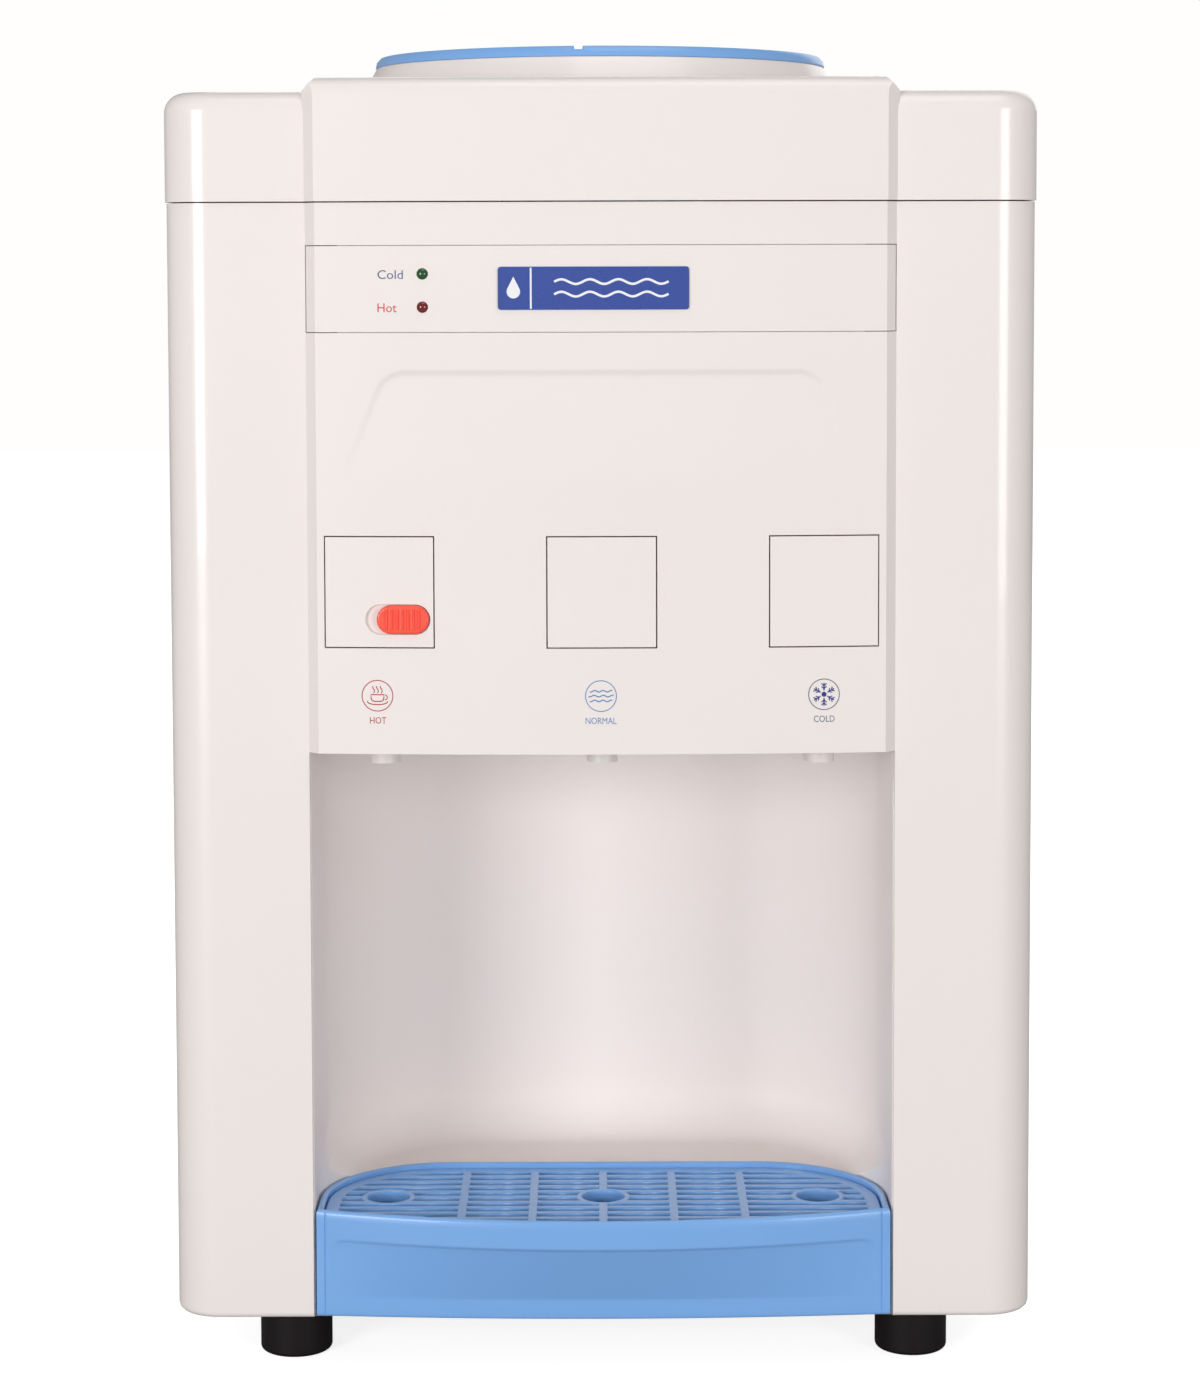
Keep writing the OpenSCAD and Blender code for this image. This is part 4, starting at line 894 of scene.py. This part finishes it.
def node_tree(name, inputs):
    """A geometry node group with named inputs and one geometry output."""
    tree = bpy.data.node_groups.new(name, "GeometryNodeTree")
    tree.interface.new_socket(name="Geometry", in_out="INPUT", socket_type="NodeSocketGeometry")
    for title, kind in inputs:
        tree.interface.new_socket(name=title, in_out="INPUT", socket_type=kind)
    tree.interface.new_socket(name="Geometry", in_out="OUTPUT", socket_type="NodeSocketGeometry")
    return tree, tree.nodes.new("NodeGroupInput"), tree.nodes.new("NodeGroupOutput")


def close_tree(tree, start, end, geometry):
    """Ends a group: realise the copies, then give them the group's material."""
    real = tree.nodes.new("GeometryNodeRealizeInstances")
    coat = tree.nodes.new("GeometryNodeSetMaterial")
    tree.links.new(geometry, real.inputs["Geometry"])
    tree.links.new(real.outputs["Geometry"], coat.inputs["Geometry"])
    tree.links.new(start.outputs["Material"], coat.inputs["Material"])
    tree.links.new(coat.outputs["Geometry"], end.inputs["Geometry"])


def grown(name, points, edges, tree, values):
    """The mesh a node group grows on a set of points and edges, in millimetres."""
    seed = bpy.data.meshes.new(name)
    seed.from_pydata([(x * mm, y * mm, z * mm) for x, y, z in points], edges, [])
    carrier = bpy.data.objects.new(name, seed)
    bpy.context.scene.collection.objects.link(carrier)
    maker = carrier.modifiers.new("maker", "NODES")
    maker.node_group = tree
    sockets = {item.name: item.identifier for item in tree.interface.items_tree if item.in_out == "INPUT"}
    for title, value in values.items():
        maker[sockets[title]] = value
    mesh = baked(carrier)
    shade(mesh, 40)
    return mesh


def pipe_tree():
    """A round pipe that follows a path."""
    inputs = (("Radius", "NodeSocketFloat"), ("Sides", "NodeSocketInt"), ("Material", "NodeSocketMaterial"))
    tree, start, end = node_tree("bent_pipe", inputs)
    path = tree.nodes.new("GeometryNodeMeshToCurve")
    ring = tree.nodes.new("GeometryNodeCurvePrimitiveCircle")
    pipe = tree.nodes.new("GeometryNodeCurveToMesh")
    pipe.inputs["Fill Caps"].default_value = True
    tree.links.new(start.outputs["Geometry"], path.inputs["Mesh"])
    tree.links.new(start.outputs["Radius"], ring.inputs["Radius"])
    tree.links.new(start.outputs["Sides"], ring.inputs["Resolution"])
    tree.links.new(path.outputs["Curve"], pipe.inputs["Curve"])
    tree.links.new(ring.outputs["Curve"], pipe.inputs["Profile Curve"])
    close_tree(tree, start, end, pipe.outputs["Mesh"])
    return tree


def wire_tree():
    """One straight wire standing at each point."""
    inputs = (
        ("Radius", "NodeSocketFloat"),
        ("Length", "NodeSocketFloat"),
        ("Material", "NodeSocketMaterial"),
    )
    tree, start, end = node_tree("cross_wires", inputs)
    wire = tree.nodes.new("GeometryNodeMeshCylinder")
    wire.inputs["Vertices"].default_value = 12
    copies = tree.nodes.new("GeometryNodeInstanceOnPoints")
    tree.links.new(start.outputs["Radius"], wire.inputs["Radius"])
    tree.links.new(start.outputs["Length"], wire.inputs["Depth"])
    tree.links.new(start.outputs["Geometry"], copies.inputs["Points"])
    tree.links.new(wire.outputs["Mesh"], copies.inputs["Instance"])
    close_tree(tree, start, end, copies.outputs["Instances"])
    return tree


def coil_path():
    """The tube's centre line: both tails turn in to the sheet, and half circles join the runs."""
    r = coil_pitch / 2
    low, top = coil_foot - 14, coil_foot + (coil_runs - 1) * coil_pitch
    entry = [(-3.5, 0), (-2.5, 0.1), (-1.2, 0.7), (-0.4, 1.8), (0, 3.2)]
    path = [(coil_half, coil_y + out, low + up) for out, up in entry]
    path += [(coil_half - 0.4, coil_y, coil_foot - 6), (coil_half - 3.5, coil_y, coil_foot - 1.5)]
    for i in range(coil_runs):
        side = 1 if i % 2 == 0 else -1
        z = coil_foot + i * coil_pitch
        path += [(side * (coil_half - r), coil_y, z), (-side * (coil_half - r), coil_y, z)]
        if i < coil_runs - 1:
            for turn in range(-80, 81, 10):
                out = coil_half - r + r * cos(radians(turn))
                path.append((-side * out, coil_y, z + r + r * sin(radians(turn))))
    path += [(-coil_half + 4, coil_y, top - 1.5), (-coil_half + 0.6, coil_y, top - 6)]
    path += [(-coil_half, coil_y + out, low + up) for out, up in reversed(entry)]
    return path


path = coil_path()
spans = [(i, i + 1) for i in range(len(path) - 1)]
bent_pipe = pipe_tree()
tube_sizes = {"Radius": 2.4 * mm, "Sides": 14, "Material": black_paint}
tube = grown("condenser_serpentine", path, spans, bent_pipe, tube_sizes)
place_piece("condenser_serpentine", tube, black_paint, "cabinet", "black_paint", "condenser_tube")
wire_long = (coil_runs - 1) * coil_pitch + 16
wire_z = coil_foot - 8 + wire_long / 2
wire_feet = [(i * 8.4 + s * 1.6, coil_y + s * 3.22, wire_z) for i in range(-13, 14) for s in (-1, 1)]
wire_sizes = {"Radius": 0.8 * mm, "Length": wire_long * mm, "Material": black_paint}
wires = grown("condenser_cross_wires", wire_feet, [], wire_tree(), wire_sizes)
place_piece("condenser_cross_wires", wires, black_paint, "cabinet", "black_paint", "condenser_wires")

# ---- Rear screws -----------------------------------------------------------
# Cross-headed zinc screws down both edges of the rear sheet, each turned its own way.

bright = skin("bright_steel", (0.55, 0.56, 0.58), 0.25, drift=0.05, smudge=0.15, metallic=1.0)


def screw_tree():
    """A pan-headed screw with a cross slot at each point, turned at random about its axis."""
    inputs = (("Head", "NodeSocketFloat"), ("Seed", "NodeSocketInt"), ("Material", "NodeSocketMaterial"))
    tree, start, end = node_tree("cross_head_screws", inputs)
    link = tree.links.new
    head = tree.nodes.new("GeometryNodeMeshCone")
    head.inputs["Vertices"].default_value = 32
    head.inputs["Radius Top"].default_value = 2.6 * mm
    head.inputs["Depth"].default_value = 1.8 * mm
    link(start.outputs["Head"], head.inputs["Radius Bottom"])
    cut = tree.nodes.new("GeometryNodeMeshBoolean")
    cut.operation = "DIFFERENCE"
    link(head.outputs["Mesh"], cut.inputs["Mesh 1"])
    for size in ((4 * mm, 0.8 * mm, 2 * mm), (0.8 * mm, 4 * mm, 2 * mm)):
        slot = tree.nodes.new("GeometryNodeMeshCube")
        slot.inputs["Size"].default_value = size
        lift = tree.nodes.new("GeometryNodeTransform")
        lift.inputs["Translation"].default_value = (0, 0, 1.9 * mm)
        link(slot.outputs["Mesh"], lift.inputs["Geometry"])
        link(lift.outputs["Geometry"], cut.inputs["Mesh 2"])
    shank = tree.nodes.new("GeometryNodeMeshCylinder")
    shank.inputs["Radius"].default_value = 1.7 * mm
    shank.inputs["Depth"].default_value = 9.4 * mm
    drop = tree.nodes.new("GeometryNodeTransform")
    drop.inputs["Translation"].default_value = (0, 0, -4.3 * mm)
    link(shank.outputs["Mesh"], drop.inputs["Geometry"])
    screw = tree.nodes.new("GeometryNodeJoinGeometry")
    link(cut.outputs["Mesh"], screw.inputs["Geometry"])
    link(drop.outputs["Geometry"], screw.inputs["Geometry"])
    turn = tree.nodes.new("FunctionNodeRandomValue")
    turn.data_type = "FLOAT_VECTOR"
    turn.inputs["Min"].default_value = (0, 0, -pi / 4)
    turn.inputs["Max"].default_value = (0, 0, pi / 4)
    link(start.outputs["Seed"], turn.inputs["Seed"])
    spin = tree.nodes.new("FunctionNodeRotateEuler")
    spin.space = "OBJECT"
    spin.inputs["Rotate By"].default_value = (-pi / 2, 0, 0)
    copies = tree.nodes.new("GeometryNodeInstanceOnPoints")
    link(turn.outputs["Value"], spin.inputs["Rotation"])
    link(spin.outputs["Rotation"], copies.inputs["Rotation"])
    link(start.outputs["Geometry"], copies.inputs["Points"])
    link(screw.outputs["Geometry"], copies.inputs["Instance"])
    close_tree(tree, start, end, copies.outputs["Instances"])
    return tree


screw_feet = [(s * 144, 152.25, z) for s in (-1, 1) for z in (36, 180, 320, 450)]
screw_sizes = {"Head": 3.6 * mm, "Seed": 7, "Material": bright}
screws = grown("rear_screws", screw_feet, [], screw_tree(), screw_sizes)
place_piece("rear_screws", screws, bright, "cabinet", "bright_steel", "panel_screws")

# ---- Tap springs ----------------------------------------------------------
# Bright wire coils that press each valve stem down on its seat.

spring_y, spring_foot, spring_long, spring_round = -123.25, 270.6, 24.8, 5
turns, steps = 6, 24
spring_sizes = {"Radius": 0.45 * mm, "Sides": 8, "Material": bright}
spans = [(i, i + 1) for i in range(turns * steps)]
for tap, x in zip(("hot", "normal", "cold"), button_places):
    coil = []
    for step in range(turns * steps + 1):
        turn = 2 * pi * step / steps
        height = spring_foot + spring_long * step / (turns * steps)
        coil.append((x + spring_round * cos(turn), spring_y + spring_round * sin(turn), height))
    wire = grown(tap + "_coil_spring", coil, spans, bent_pipe, spring_sizes)
    spring = place_piece(tap + "_coil_spring", wire, bright, "cabinet", "bright_steel", tap + "_spring")
    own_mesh(spring)

# ---- Rear fittings -----------------------------------------------------------
# Black rocker switch frames, a red and a green rocker, a cord inlet, and a white
# outlet closed by a knurled blue cap.

matt_black = skin("matt_black", (0.014, 0.014, 0.014), 0.5, drift=0.2, peel=900, depth=0.03)
softened("switch_frames", "switch_housings", 0.3, matt_black, "black_plastic")
softened("inlet_gland", "cord_gland", 0.3, matt_black, "black_plastic")
rocker_red = skin("rocker_red", (0.42, 0.012, 0.012), 0.25, coat=0.3)
rocker_green = skin("rocker_green", (0.012, 0.16, 0.03), 0.25, coat=0.3)
softened("hot_rocker_cap", "hot_switch", 0.4, rocker_red, "switch_red")
softened("cold_rocker_cap", "cold_switch", 0.4, rocker_green, "switch_green")
softened("outlet_spigot", "drain_spigot", 0.2, milky, "inner_plastic")
softened("outlet_cap", "drain_cap", 0.3, sky_blue, "blue_plastic")

# ---- Inside pieces -----------------------------------------------------------
# What can be glimpsed through the louvres and under the lifted seat keeps its exact
# shape and takes its own finish.

stainless = skin("stainless", (0.50, 0.51, 0.53), 0.28, drift=0.08, smudge=0.2, peel=120, metallic=1.0)
copper = skin("copper_tube", (0.62, 0.26, 0.14), 0.3, drift=0.2, smudge=0.2, peel=90, metallic=1.0)
foam = skin("white_foam", (0.80, 0.79, 0.75), 0.8, drift=0.1, peel=500, depth=0.2)
hose_rubber = skin("hose_silicone", (0.72, 0.72, 0.68), 0.45, drift=0.05, peel=300)
board_green = skin("board_green", (0.012, 0.09, 0.035), 0.4, drift=0.15)
mica = skin("heater_mica", (0.38, 0.36, 0.33), 0.5, drift=0.3, smudge=0.2, metallic=0.6)
inside = {
    stainless: ("cold_tank", "hot_tank"),
    bright: ("foot_screws",),
    copper: ("evaporator_coil", "filter_drier", "refrigerant_lines"),
    foam: ("tank_insulation", "hot_tank_jacket"),
    black_paint: ("compressor",),
    hose_rubber: ("seat_gasket", "water_hoses"),
    board_green: ("indicator_board",),
    mica: ("heater_band",),
    zinc: ("tank_shelf", "hot_tank_stand"),
    foot_rubber: ("compressor_mounts",),
    matt_black: ("terminal_cover", "thermostats"),
    milky: (
        "tank_lid", "tank_baffle", "tap_bonnets", "button_carrier", "hot_stem", "normal_stem", "cold_stem",
    ),
}
for finish, names in inside.items():
    for name in names:
        nodes[name].data.materials.clear()
        nodes[name].data.materials.append(finish)

boxes = (cad_box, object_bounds())
boxes = [[[round(float(v), 5) for v in corner] for corner in pair] for pair in boxes]
